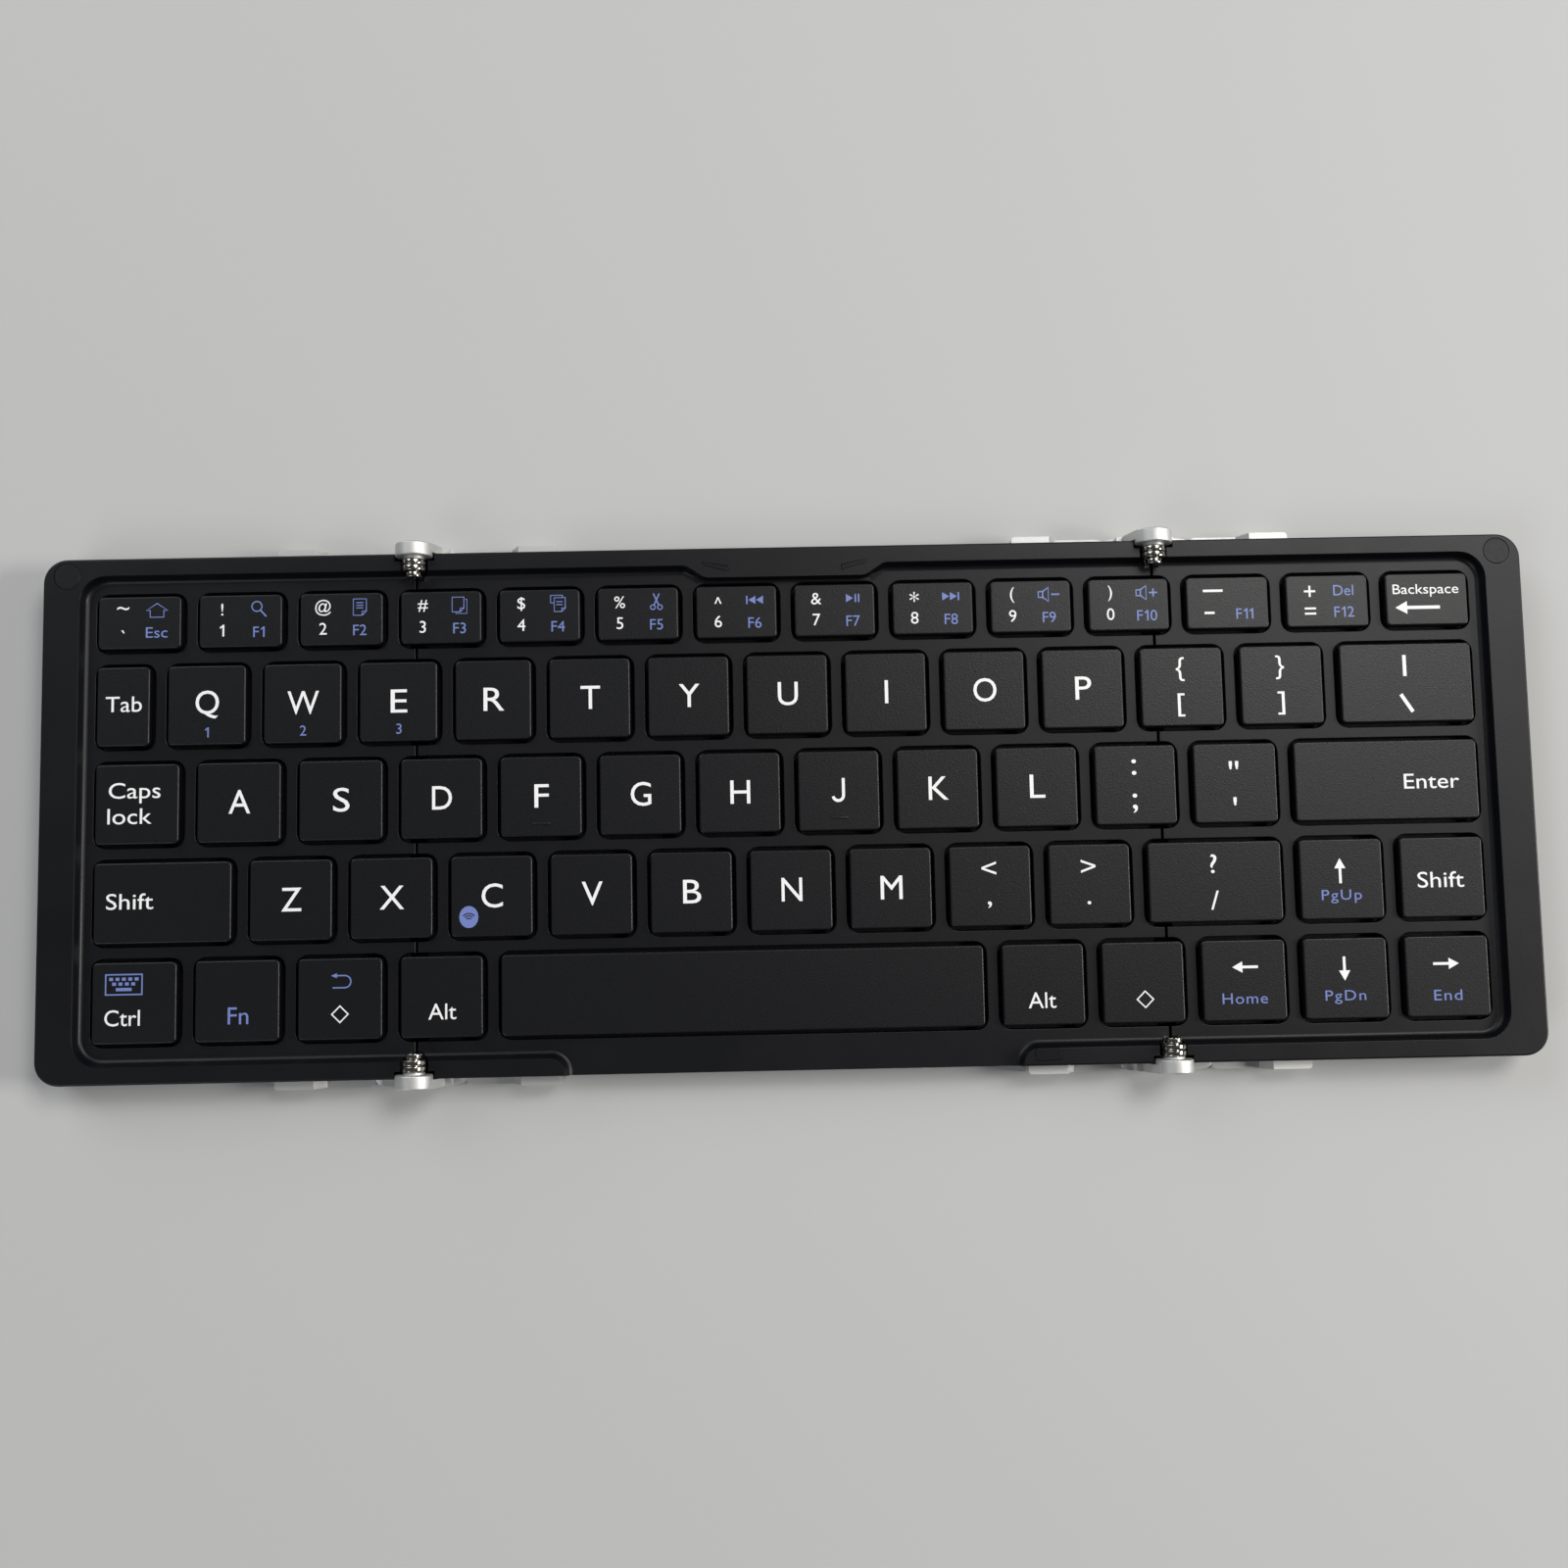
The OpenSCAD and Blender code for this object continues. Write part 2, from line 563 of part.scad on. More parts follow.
usb_z = bay_z + 0.15;
flex_y = row_y1(2) - row_pitch / 2;               // the flat cables run between two rows of stakes
module centre_pockets() {
    span(-usb_w / 2 - slip, usb_w / 2 + slip, half_d - usb_d - slip, half_d + 1, bay_z - 1, usb_z + usb_h + slip);
    for (s = [-1, 1]) magnet_space(s * centre_magnet_x, deck_z0 - 1, centre_magnet_z + magnet_t);
    for (s = [-1, 1]) leaf_window(s, fit);
    sensor_cover(fit);
}

centre_magnet_x = 2 * fold_x - half_w + magnet_in_x;   // under the wings' magnets when folded
centre_magnet_z = rim_z - 0.6 - magnet_t;

// ---------------------------------------------------------------- pieces of a panel

module back_cover(panel) {
    difference() {
        panel_slab(panel, cover_z, bay_z, 0, fold_slit / 2);
        for (p = feet_places(panel)) translate([p[0], p[1], cover_z - 1]) cylinder(r = foot_r + fit, h = foot_recess + 1);
        for (p = screw_places(panel)) translate([p[0], p[1], cover_z - 1]) {
            cylinder(r = screw_r + fit, h = cover_t + 2);
            cylinder(r = screw_head_r + fit, h = screw_head_t + 1);
        }
    }
}

module key_plate(panel) {
    difference() {
        plate_blank(panel, plate_z, membrane_z);
        stake_holes(panel);
        swing_space(panel);
        // vent under each dome
        for (k = KEYS) if (k[4] == panel) translate([k[0], k[1] - k[3] / 4, plate_z - 1]) cylinder(r = 0.6, h = plate_t + 2);
    }
}

module plate_blank(panel, z0, z1) {
    intersection() {
        span(-plate_x, plate_x, -plate_y, plate_y, z0, z1);
        span(panel_x0(panel, plate_fold_x), panel_x1(panel, plate_fold_x), -half_d, half_d, z0, z1);
    }
}

module dome() {
    top = ceiling_z - deck_z0 - 0.02;
    rotate_extrude($fn = 24) polygon([[dome_r - dome_wall, 0], [dome_r, 0], [dome_r, dome_wall],
        [dome_r * 0.62, top - dome_wall * 1.6], [dome_r * 0.62, top], [0, top], [0, top - 2.2 * dome_wall],
        [dome_r * 0.62 - dome_wall, top - 2.2 * dome_wall]]);
}

// puts its children at each key action of one panel
module at_actions(panel) {
    for (k = KEYS) if (k[4] == panel) {
        x0 = action_x0(k);
        x1 = action_x1(k);
        n = action_count(k);
        for (i = [1 : n]) translate([x0 + (x1 - x0) * (i - 0.5) / n, k[1], 0]) {
            $action_d = k[3] - 2 * action_wall;
            children();
        }
    }
}

module switch_sheet(panel) {
    difference() {
        plate_blank(panel, membrane_z, deck_z0);
        stake_holes(panel);
        swing_space(panel);
    }
    at_actions(panel) translate([0, 0, deck_z0]) dome();
}

// one frame of a scissor pair, tilted about its middle
module scissor_frame(w, l, bar, tilt) {
    rotate([tilt, 0, 0]) difference() {
        cube([w, l, scissor_t], center = true);
        cube([w - 2 * bar, l - 2.2 * bar, scissor_t + 1], center = true);
    }
}

module scissor_pair(l) {
    bar = (scissor_w - 2 * dome_r - 4 * fit) / 4 - 0.08;
    tilt = asin((ceiling_z - deck_z0 - scissor_t - 2 * fit) / l);
    translate([0, 0, (ceiling_z + deck_z0) / 2]) {
        scissor_frame(scissor_w, l, bar, tilt);
        scissor_frame(scissor_w - 2 * bar - 2 * slip, l, bar, -tilt);
    }
}

module scissors(panel) {
    at_actions(panel) scissor_pair($action_d);
}

module hinge_arms(panel) {
    for (side = panel == CENTRE ? [-1, 1] : [panel]) for (end = [-1, 1])
        at_hinge(side, end, panel == CENTRE ? -1 : 1) if (panel == CENTRE) centre_arm(); else wing_arm();
}

module at_all_hinges() {
    for (side = [-1, 1]) for (end = [-1, 1]) at_hinge(side, end, -1) children();
}

module feet(panel) {
    for (p = feet_places(panel)) translate([p[0], p[1], 0]) cylinder(r = foot_r, h = foot_h + foot_recess);
}

module screws(panel) {
    for (p = screw_places(panel)) translate([p[0], p[1], cover_z + fit]) {
        cylinder(r = screw_head_r, h = screw_head_t - fit);
        cylinder(r = screw_r, h = screw_head_t + screw_len);
    }
}

module magnet(x, z0) {
    translate([x, half_d - magnet_in_y, z0]) cylinder(r = magnet_r, h = magnet_t);
}

// ---------------------------------------------------------------- inside the centre panel

board_y1 = plate_y - 0.1;
module main_board() {
    color("darkgreen") difference() {
        union() {
            span(-board_w / 2, board_w / 2, board_y1 - board_d, board_y1, bay_z + 0.1, bay_z + 0.1 + board_t);
            span(-usb_w / 2 - 2, usb_w / 2 + 2, board_y1 - e, half_d - wall_t - 0.4, bay_z + 0.1, bay_z + 0.1 + board_t);
            // controller, memory and crystal
            span(-12, -4, board_y1 - 14, board_y1 - 6, bay_z + board_t, bay_z + bay_h - 0.15);
            span(4, 9, board_y1 - 12, board_y1 - 7, bay_z + board_t, bay_z + bay_h - 0.15);
            span(14, 18, board_y1 - 11, board_y1 - 9, bay_z + board_t, bay_z + bay_h - 0.2);
        }
        span(-usb_w / 2 - slip, usb_w / 2 + slip, half_d - usb_d - slip, half_d + 1, bay_z, bay_z + bay_h);
        for (p = stake_places(CENTRE)) translate([p[0], p[1], bay_z]) cylinder(r = stake_head_r + slip, h = bay_h);
    }
}

module battery() {
    color("silver") difference() {
        span(-battery_w / 2, battery_w / 2, -plate_y + 4, -plate_y + 4 + battery_d, bay_z + 0.05, plate_z - 0.15);
        for (p = stake_places(CENTRE)) translate([p[0], p[1], bay_z]) cylinder(r = stake_head_r + slip, h = bay_h);
    }
}

module charging_socket() {
    color("gainsboro") {
        difference() {
            span(-usb_w / 2, usb_w / 2, half_d - usb_d, half_d - 0.1, usb_z, usb_z + usb_h);
            span(-usb_w / 2 + usb_wall, usb_w / 2 - usb_wall, half_d - usb_d + 0.6, half_d + 1,
                usb_z + usb_wall, usb_z + usb_h - usb_wall);
        }
        span(-usb_w / 4, usb_w / 4, half_d - usb_d + 0.5, half_d - 0.8, usb_z + usb_h / 2 - 0.1, usb_z + usb_h / 2 + 0.4);
    }
}

// a window like half a leaf: a straight slanted side to the rear, its tip pointing outwards
module leaf_window(s, gap) {
    l = leaf_l + 2 * gap;
    w = leaf_w + 2 * gap;
    translate([s * leaf_x, half_d - leaf_in_y, rim_z - insert_t]) linear_extrude(insert_t + (gap > 0 ? 1 : 0))
        mirror([s < 0 ? 1 : 0, 0]) polygon(concat(quarter(-l / 6, w / 2, l * 2 / 3, w, 0, 6),
            [[-l / 2, -w / 2], [-l / 2, w * 0.1], [l / 2, w / 2 + 0.15]]));
}

module sensor_cover(gap) {
    translate([sensor_x, -half_d + sensor_in_y, rim_z - insert_t]) linear_extrude(insert_t + (gap > 0 ? 1 : 0))
        polygon(rounded(sensor_l + 2 * gap, sensor_w + 2 * gap, 0.5 + gap));
}

module flex_cables() {
    for (s = [-1, 1]) color("orange") translate([s * fold_x, flex_y, plate_z - flex_t / 2 - 0.05])
        cube([2 * flex_reach, flex_w, flex_t], center = true);
}

// ---------------------------------------------------------------- key caps

module key_cap(k) {
    w = k[2] - 2 * cap_gap;
    d = k[3] - 2 * cap_gap;
    r = opening_r - cap_gap;
    translate([k[0], k[1], 0]) difference() {
        union() {
            translate([0, 0, cap_z0]) linear_extrude(cap_z - cap_bevel - cap_z0) polygon(rounded(w, d, r));
            translate([0, 0, cap_z - cap_bevel])
                linear_extrude(cap_bevel, slices = 1, scale = [1 - 2 * cap_bevel / w, 1 - 2 * cap_bevel / d])
                    polygon(rounded(w, d, r));
        }
        translate([0, 0, cap_z0 - 1]) linear_extrude(ceiling_z - cap_z0 + 1)
            polygon(rounded(w - 2 * cap_wall, d - 2 * cap_wall, r / 2));
    }
}

// the caps at the given places of one row of one panel
module caps(panel, row, places) {
    color([0.06, 0.06, 0.07]) for (k = KEYS) if (k[4] == panel && k[5] == row && len(search(k[6], places)) > 0)
        key_cap(k);
}

module home_bars() {
    for (k = KEYS) if (k[4] == CENTRE && k[5] == 2 && (k[6] == 1 || k[6] == 4))
        color([0.06, 0.06, 0.07]) translate([k[0], k[1] - k[3] / 2 + 2.4, cap_z + 0.05])
            cube([home_bar_w, 0.5, 0.3], center = true);
}

// ---------------------------------------------------------------- nodes

black = [0.07, 0.07, 0.08];
grey = [0.3, 0.31, 0.33];
steel = [0.72, 0.73, 0.74];

color(grey) back_cover(LEFT);  // left_back_cover
color(black) frame(LEFT);  // left_frame
color(steel) key_plate(LEFT);  // left_key_plate
color("ivory") switch_sheet(LEFT);  // left_switch_sheet
color("white") scissors(LEFT);  // left_scissors
color("silver") hinge_arms(LEFT);  // left_hinge_arms
color("dimgray") feet(LEFT);  // left_feet
color("gray") screws(LEFT);  // left_screws
color(black) magnet(-half_w + magnet_in_x, rim_z - magnet_t);  // left_magnet

color(grey) back_cover(RIGHT);  // right_back_cover
color(black) frame(RIGHT);  // right_frame
color(steel) key_plate(RIGHT);  // right_key_plate
color("ivory") switch_sheet(RIGHT);  // right_switch_sheet
color("white") scissors(RIGHT);  // right_scissors
color("silver") hinge_arms(RIGHT);  // right_hinge_arms
color("dimgray") feet(RIGHT);  // right_feet
color("gray") screws(RIGHT);  // right_screws
color(black) magnet(half_w - magnet_in_x, rim_z - magnet_t);  // right_magnet

color(grey) back_cover(CENTRE);  // centre_back_cover
color(black) frame(CENTRE);  // centre_frame
color(steel) key_plate(CENTRE);  // centre_key_plate
color("ivory") switch_sheet(CENTRE);  // centre_switch_sheet
color("white") scissors(CENTRE);  // centre_scissors
color("silver") hinge_arms(CENTRE);  // centre_hinge_arms
color(steel) at_all_hinges() hinge_pin();  // hinge_pins
color(steel) at_all_hinges() hinge_washer();  // hinge_washers
color("dimgray") feet(CENTRE);  // centre_feet
color("gray") screws(CENTRE);  // centre_screws
main_board();
battery();
charging_socket();
color(black) {  // rim_windows
    leaf_window(-1, 0);
    leaf_window(1, 0);
    sensor_cover(0);
}
flex_cables();
color(steel) {  // centre_magnets
    magnet(-centre_magnet_x, centre_magnet_z);
    magnet(centre_magnet_x, centre_magnet_z);
}

caps(LEFT, 0, [0, 1, 2]);  // left_number_keys
caps(LEFT, 1, [0]);  // tab_key
caps(LEFT, 1, [1, 2, 3]);  // left_upper_letter_keys
caps(LEFT, 2, [0]);  // caps_lock_key
union() {  // left_lower_letter_keys
    caps(LEFT, 2, [1, 2]);
    caps(LEFT, 3, [1, 2]);
}
caps(LEFT, 3, [0]);  // left_shift_key
caps(LEFT, 4, [0]);  // control_key
caps(LEFT, 4, [1]);  // function_key
caps(LEFT, 4, [2]);  // left_system_key

caps(CENTRE, 0, [0, 1, 2, 3, 4, 5, 6, 7]);  // centre_number_keys
caps(CENTRE, 1, [0, 1, 2, 3, 4, 5, 6]);  // centre_upper_letter_keys
union() {  // centre_home_letter_keys
    caps(CENTRE, 2, [0, 1, 2, 3, 4, 5, 6, 7]);
    home_bars();
}
caps(CENTRE, 3, [0, 1, 2, 3, 4, 5, 6]);  // centre_lower_letter_keys
caps(CENTRE, 4, [0]);  // left_alt_key
caps(CENTRE, 4, [1]);  // space_key
caps(CENTRE, 4, [2]);  // right_alt_key
caps(CENTRE, 4, [3]);  // right_system_key

union() {  // right_symbol_keys
    caps(RIGHT, 0, [0, 1]);
    caps(RIGHT, 1, [0, 1]);
    caps(RIGHT, 2, [0]);
    caps(RIGHT, 3, [0]);
}
caps(RIGHT, 0, [2]);  // backspace_key
caps(RIGHT, 1, [2]);  // backslash_key
caps(RIGHT, 2, [1]);  // enter_key
caps(RIGHT, 3, [2]);  // right_shift_key
caps(RIGHT, 3, [1]);  // arrow_up_key
caps(RIGHT, 4, [0]);  // arrow_left_key
caps(RIGHT, 4, [1]);  // arrow_down_key
caps(RIGHT, 4, [2]);  // arrow_right_key
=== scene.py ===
import bmesh
import bpy
from math import cos, hypot, pi, radians, sin
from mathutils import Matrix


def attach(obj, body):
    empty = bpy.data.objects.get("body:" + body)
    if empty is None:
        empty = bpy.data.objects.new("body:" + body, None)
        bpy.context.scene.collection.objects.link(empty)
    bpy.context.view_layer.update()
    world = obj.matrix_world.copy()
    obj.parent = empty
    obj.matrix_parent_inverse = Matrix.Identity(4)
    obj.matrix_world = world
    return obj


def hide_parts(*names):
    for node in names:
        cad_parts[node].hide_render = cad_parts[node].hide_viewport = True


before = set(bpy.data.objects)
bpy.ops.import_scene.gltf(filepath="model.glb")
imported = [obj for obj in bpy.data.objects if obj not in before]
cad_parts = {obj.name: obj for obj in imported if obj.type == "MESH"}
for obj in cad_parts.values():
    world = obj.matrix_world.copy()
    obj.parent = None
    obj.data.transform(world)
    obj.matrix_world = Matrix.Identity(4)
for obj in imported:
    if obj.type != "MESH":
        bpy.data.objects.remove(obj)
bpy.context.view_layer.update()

# ---------------- back covers
# Three aluminium plates, one under each panel, blanked from 0.8 mm sheet, bead blasted and
# anodised black. Each is held by screws from below, and round hollows in it take the feet.

MM = 0.001  # everything is drawn in millimetres and brought to metres when it is done
half_width = 125.15  # of the open keyboard
half_depth = 44.0
corner_radius = 4.0
corner_segments = 10
fold_x = 62.675  # the two fold lines, to the left and right of the middle
fold_slit = 0.4  # gap between two panels
fold_chamfer = 0.08  # taken off the edges along the folds
saw_reach = 60  # of the saw cuts, well past the front and the rear edge
edge_on = 0.7071  # size of a square bar that reaches 1 when it stands on its edge
smooth_under = 32  # degrees between two faces that still look like one
cover_z = 0.5
cover_thickness = 0.8
bay_z = cover_z + cover_thickness
cover_edge = 0.25
foot_radius = 4.0
foot_recess = 0.3
screw_shank = 0.55
screw_head = 1.2
screw_head_edge = 0.1
screw_head_depth = 0.4
glue_gap = 0.05
foot_places = {
    "left": [(-116.15, 35), (-116.15, -35), (-71.675, 35), (-71.675, -35)],
    "centre": [(-44.675, 35), (-44.675, -35), (44.675, 35), (44.675, -35)],
    "right": [(116.15, 35), (116.15, -35), (71.675, 35), (71.675, -35)],
}
tab_screw_from_fold = 6.0
tab_screw_y = 41.6
screw_places = {"left": [], "centre": [], "right": []}
for end in (-1, 1):
    for side, wing in ((-1, "left"), (1, "right")):
        tab_screw = side * (fold_x + tab_screw_from_fold)
        screw_places[wing] += [(side * 121.45, end * 30), (tab_screw, end * tab_screw_y)]
        tab_screw = side * (fold_x - tab_screw_from_fold)
        screw_places["centre"] += [(side * 28, end * 41.1), (tab_screw, end * tab_screw_y)]
panel_body = {"left": "left_wing", "centre": "centre_panel", "right": "right_wing"}


def take(piece):
    """Makes a piece the only one that is selected."""
    bpy.ops.object.select_all(action="DESELECT")
    piece.hide_set(False)
    piece.select_set(True)
    bpy.context.view_layer.objects.active = piece


def settle(piece):
    """Brings a piece's place, turn and size into its mesh."""
    take(piece)
    bpy.ops.object.transform_apply(location=True, rotation=True, scale=True)
    return piece


def block(name, x0, x1, y0, y1, z0, z1):
    """A square blank between two corners."""
    bpy.ops.object.select_all(action="DESELECT")
    middle = ((x0 + x1) / 2, (y0 + y1) / 2, (z0 + z1) / 2)
    bpy.ops.mesh.primitive_cube_add(size=1, location=middle)
    blank = bpy.context.object
    blank.name = name
    blank.scale = (x1 - x0, y1 - y0, z1 - z0)
    return settle(blank)


def rod(name, radius, start, end, sides):
    """A round blank between two points, along one of the three directions."""
    bpy.ops.object.select_all(action="DESELECT")
    reach = [b - a for a, b in zip(start, end)]
    turn = (0, pi / 2, 0) if reach[0] else (pi / 2, 0, 0) if reach[1] else (0, 0, 0)
    middle = [(a + b) / 2 for a, b in zip(start, end)]
    bpy.ops.mesh.primitive_cylinder_add(
        vertices=sides, radius=radius, depth=max(map(abs, reach)), location=middle, rotation=turn
    )
    bpy.context.object.name = name
    return settle(bpy.context.object)


def post(name, radius, x, y, z0, z1, sides=32):
    """A round blank that stands upright."""
    return rod(name, radius, (x, y, z0), (x, y, z1), sides)


def choose(piece, kind, test):
    """Opens a piece for editing with only the points, edges or faces selected that pass the test.

    The test is given a point's place, the places of an edge's ends, or a face's middle and normal.
    """
    take(piece)
    bpy.ops.object.mode_set(mode="EDIT")
    bpy.ops.mesh.select_mode(type=kind)
    bpy.ops.mesh.select_all(action="DESELECT")
    mesh = bmesh.from_edit_mesh(piece.data)
    mesh.normal_update()
    for part in {"VERT": mesh.verts, "EDGE": mesh.edges, "FACE": mesh.faces}[kind]:
        if kind == "VERT":
            chosen = test(part.co)
        elif kind == "EDGE":
            chosen = test(part.verts[0].co, part.verts[1].co)
        else:
            chosen = test(part.calc_center_median(), part.normal)
        if chosen:
            part.select_set(True)
    mesh.select_flush_mode()
    bmesh.update_edit_mesh(piece.data)


def close():
    """Ends the editing of a piece."""
    bpy.ops.object.mode_set(mode="OBJECT")


def round_edges(piece, radius, segments, test):
    """Rounds the edges that pass the test, in so many segments."""
    choose(piece, "EDGE", test)
    bpy.ops.mesh.bevel(offset=radius, segments=segments, affect="EDGES", clamp_overlap=True)
    close()


def same(a, b):
    """True for two measures that are the same but for rounding."""
    return abs(a - b) < 0.005


def upright(a, b):
    """True for an edge that stands straight up."""
    return same(a.x, b.x) and same(a.y, b.y) and not same(a.z, b.z)


def along_y(a, b):
    """True for an edge that runs from the front to the rear."""
    return same(a.x, b.x) and same(a.z, b.z) and not same(a.y, b.y)


def level_at(z):
    """A test for edges that lie flat at one height."""
    return lambda a, b: same(a.z, z) and same(b.z, z)


def facing_up(middle, normal):
    """True for a face that looks up."""
    return normal.z > 0.9


def facing_down(middle, normal):
    """True for a face that looks down."""
    return normal.z < -0.9


def move_points(piece, shift, test):
    """Shifts the points that pass the test."""
    choose(piece, "VERT", test)
    bpy.ops.transform.translate(value=shift)
    close()


def draw_out(*shifts):
    """Draws the chosen faces out of the open piece, once for each shift."""
    for shift in shifts:
        bpy.ops.mesh.extrude_region_move(TRANSFORM_OT_translate={"value": shift})


def step_in(*steps):
    """Draws the chosen faces of the open piece inwards and out of it, by so much for each step."""
    for inwards, out in steps:
        bpy.ops.mesh.inset(thickness=inwards, depth=out, use_even_offset=True)


def pull(piece, test, *shifts):
    """Draws the faces that pass the test out of a piece, once for each shift."""
    choose(piece, "FACE", test)
    draw_out(*shifts)
    close()


def another(piece, name, shift=(0, 0, 0)):
    """A copy of a piece with its own mesh, moved to its place."""
    take(piece)
    bpy.ops.object.duplicate(linked=False)
    copy = bpy.context.object
    copy.name = name
    copy.location = shift
    return settle(copy)


def joined(pieces, name):
    """Several meshes as one."""
    take(pieces[0])
    for piece in pieces[1:]:
        piece.select_set(True)
    if len(pieces) > 1:
        bpy.ops.object.join()
    bpy.context.object.name = name
    return bpy.context.object


def combine(piece, other, action="DIFFERENCE"):
    """Cuts another shape out of a piece, or adds it, and throws the other shape away."""
    take(piece)
    tool = piece.modifiers.new("tool", "BOOLEAN")
    tool.operation = action
    tool.object = other
    tool.solver = "MANIFOLD"
    bpy.ops.object.modifier_apply(modifier=tool.name)
    bpy.data.objects.remove(other)
    return piece


def saw_cuts(z0, z1):
    """Cutters for the slits between the panels."""
    half = fold_slit / 2
    return [
        block("cut", side * fold_x - half, side * fold_x + half, -saw_reach, saw_reach, z0, z1)
        for side in (-1, 1)
    ]


def chamfer_cuts(z):
    """Square bars on edge, for the chamfers along the slits where they come out at a height."""
    reach = fold_slit / 2 + fold_chamfer
    found = []
    for side in (-1, 1):
        bar = block("cut", -reach, reach, 1 - saw_reach, saw_reach - 1, -reach, reach)
        bar.rotation_euler = (0, radians(45), 0)
        bar.scale = (edge_on, 1, edge_on)
        bar.location = (side * fold_x, 0, z)
        found.append(settle(bar))
    return found


def panels_of(whole, kind):
    """Takes the sawn keyboard apart into its three panels."""
    take(whole)
    bpy.ops.object.mode_set(mode="EDIT")
    bpy.ops.mesh.select_all(action="SELECT")
    bpy.ops.mesh.separate(type="LOOSE")
    close()
    found = {}
    for piece in bpy.context.selected_objects:
        middle = sum(corner[0] for corner in piece.bound_box) / 8
        side = "left" if middle < -fold_x else "right" if middle > fold_x else "centre"
        piece.name = side + "_" + kind
        found[side] = joined([found[side], piece], piece.name) if side in found else piece
    return found


def finish(piece, body, slot, finishes, stands_for):
    """Brings a piece to metres, smooths it, gives it its material and fixes it to its body."""
    piece.scale = (MM, MM, MM)
    settle(piece)
    bpy.ops.object.shade_smooth_by_angle(angle=radians(smooth_under))
    weights = piece.modifiers.new("weights", "WEIGHTED_NORMAL")
    weights.keep_sharp = True
    bpy.ops.object.modifier_apply(modifier=weights.name)
    if finishes:
        piece.data.materials.clear()
        for material in finishes:
            piece.data.materials.append(material)
    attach(piece, body)
    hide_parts(*stands_for)


def colour(code):
    """An sRGB hex colour as the linear values that a shader takes."""
    parts = [int(code[i:i + 2], 16) / 255 for i in (1, 3, 5)]
    return [c / 12.92 if c <= 0.04045 else ((c + 0.055) / 1.055) ** 2.4 for c in parts] + [1]


def new_material(name, base, roughness, settings={}):
    """A material with plain values on its shader; patterns are linked to it afterwards."""
    material = bpy.data.materials.new(name)
    material.use_nodes = True
    shader = material.node_tree.nodes["Principled BSDF"]
    for socket, value in {"Base Color": colour(base), "Roughness": roughness, **settings}.items():
        shader.inputs[socket].default_value = value
    return material


def add(material, kind, inputs, **settings):
    """Adds a node: inputs are numbers, colours or other nodes' outputs, settings its choices."""
    made = material.node_tree.nodes.new(kind)
    for name, value in settings.items():
        setattr(made, name, value)
    for name, value in inputs.items():
        if isinstance(value, bpy.types.NodeSocket):
            material.node_tree.links.new(value, made.inputs[name])
        else:
            made.inputs[name].default_value = value
    return made


def link(material, output, socket):
    """Joins an output to a socket of the material's shader."""
    shader = material.node_tree.nodes["Principled BSDF"]
    material.node_tree.links.new(output, shader.inputs[socket])


def grained(material, scale, detail, roughness=None, relief=None, stretch=None):
    """Gives a material a grain, so many to the metre and stretched if need be.

    It spreads the roughness between two values, and makes a relief of a strength and a depth.
    """
    place = add(material, "ShaderNodeTexCoord", {}).outputs["Object"]
    if stretch:
        mapping = add(material, "ShaderNodeMapping", {"Vector": place, "Scale": stretch})
        place = mapping.outputs["Vector"]
    inputs = {"Vector": place, "Scale": scale, "Detail": detail}
    grain = add(material, "ShaderNodeTexNoise", inputs).outputs["Fac"]
    if roughness:
        spread = {"From Min": 0.3, "From Max": 0.7, "To Min": roughness[0], "To Max": roughness[1]}
        uneven = add(material, "ShaderNodeMapRange", {"Value": grain, **spread})
        link(material, uneven.outputs["Result"], "Roughness")
    if relief:
        inputs = {"Height": grain, "Strength": relief[0], "Distance": relief[1]}
        bump = add(material, "ShaderNodeBump", inputs)
        link(material, bump.outputs["Normal"], "Normal")


# Black anodised aluminium: a bead-blasted grain of about 0.15 mm under the dye, so it is a dull
# dark grey metal with a soft, even sheen. The grain is drawn twice as coarse so that it shows.
anodised_aluminium = new_material("black_anodised_aluminium", "#3a3b3e", 0.42, {"Metallic": 1.0})
grained(anodised_aluminium, 3300.0, 3.0, roughness=(0.36, 0.5), relief=(0.25, 0.00003))

cover = block("cover", -half_width, half_width, -half_depth, half_depth, cover_z, bay_z)
round_edges(cover, corner_radius, corner_segments, upright)
round_edges(cover, cover_edge, 3, level_at(cover_z))
for cuts in (saw_cuts(cover_z - 1, bay_z + 1), chamfer_cuts(cover_z)):
    combine(cover, joined(cuts, "cuts"))


def holes(places, radius, top, sides):
    """Round cutters that reach up to a height from under the cover."""
    return [
        post("hole", radius, x, y, cover_z - 1, top, sides)
        for panel_places in places.values() for x, y in panel_places
    ]


hollows = holes(foot_places, foot_radius + glue_gap, cover_z + foot_recess, 48)
hollows += holes(screw_places, screw_head + glue_gap, cover_z + screw_head_depth, 32)
combine(cover, joined(hollows, "holes"))
combine(cover, joined(holes(screw_places, screw_shank + glue_gap, bay_z + 1, 20), "holes"))
for side, piece in panels_of(cover, "back_plate").items():
    finish(piece, panel_body[side], "anodised_cover", [anodised_aluminium], [side + "_back_cover"])

# ---------------- feet and screws
# Twelve round pads of moulded silicone rubber, glued into the hollows of the covers, and the
# pan-headed steel screws that hold covers and hinges to the frames, blackened and sunk flush.

foot_edge = 0.3
foot_rim = 0.7  # of the foot's sole, round its sunk middle
foot_sink = (0.15, 0.12)  # slope and depth of the sunk middle
screw_tip_z = 2.65
screw_tip = 0.2
cross_length = 1.5
cross_width = 0.32
cross_depth = 0.25

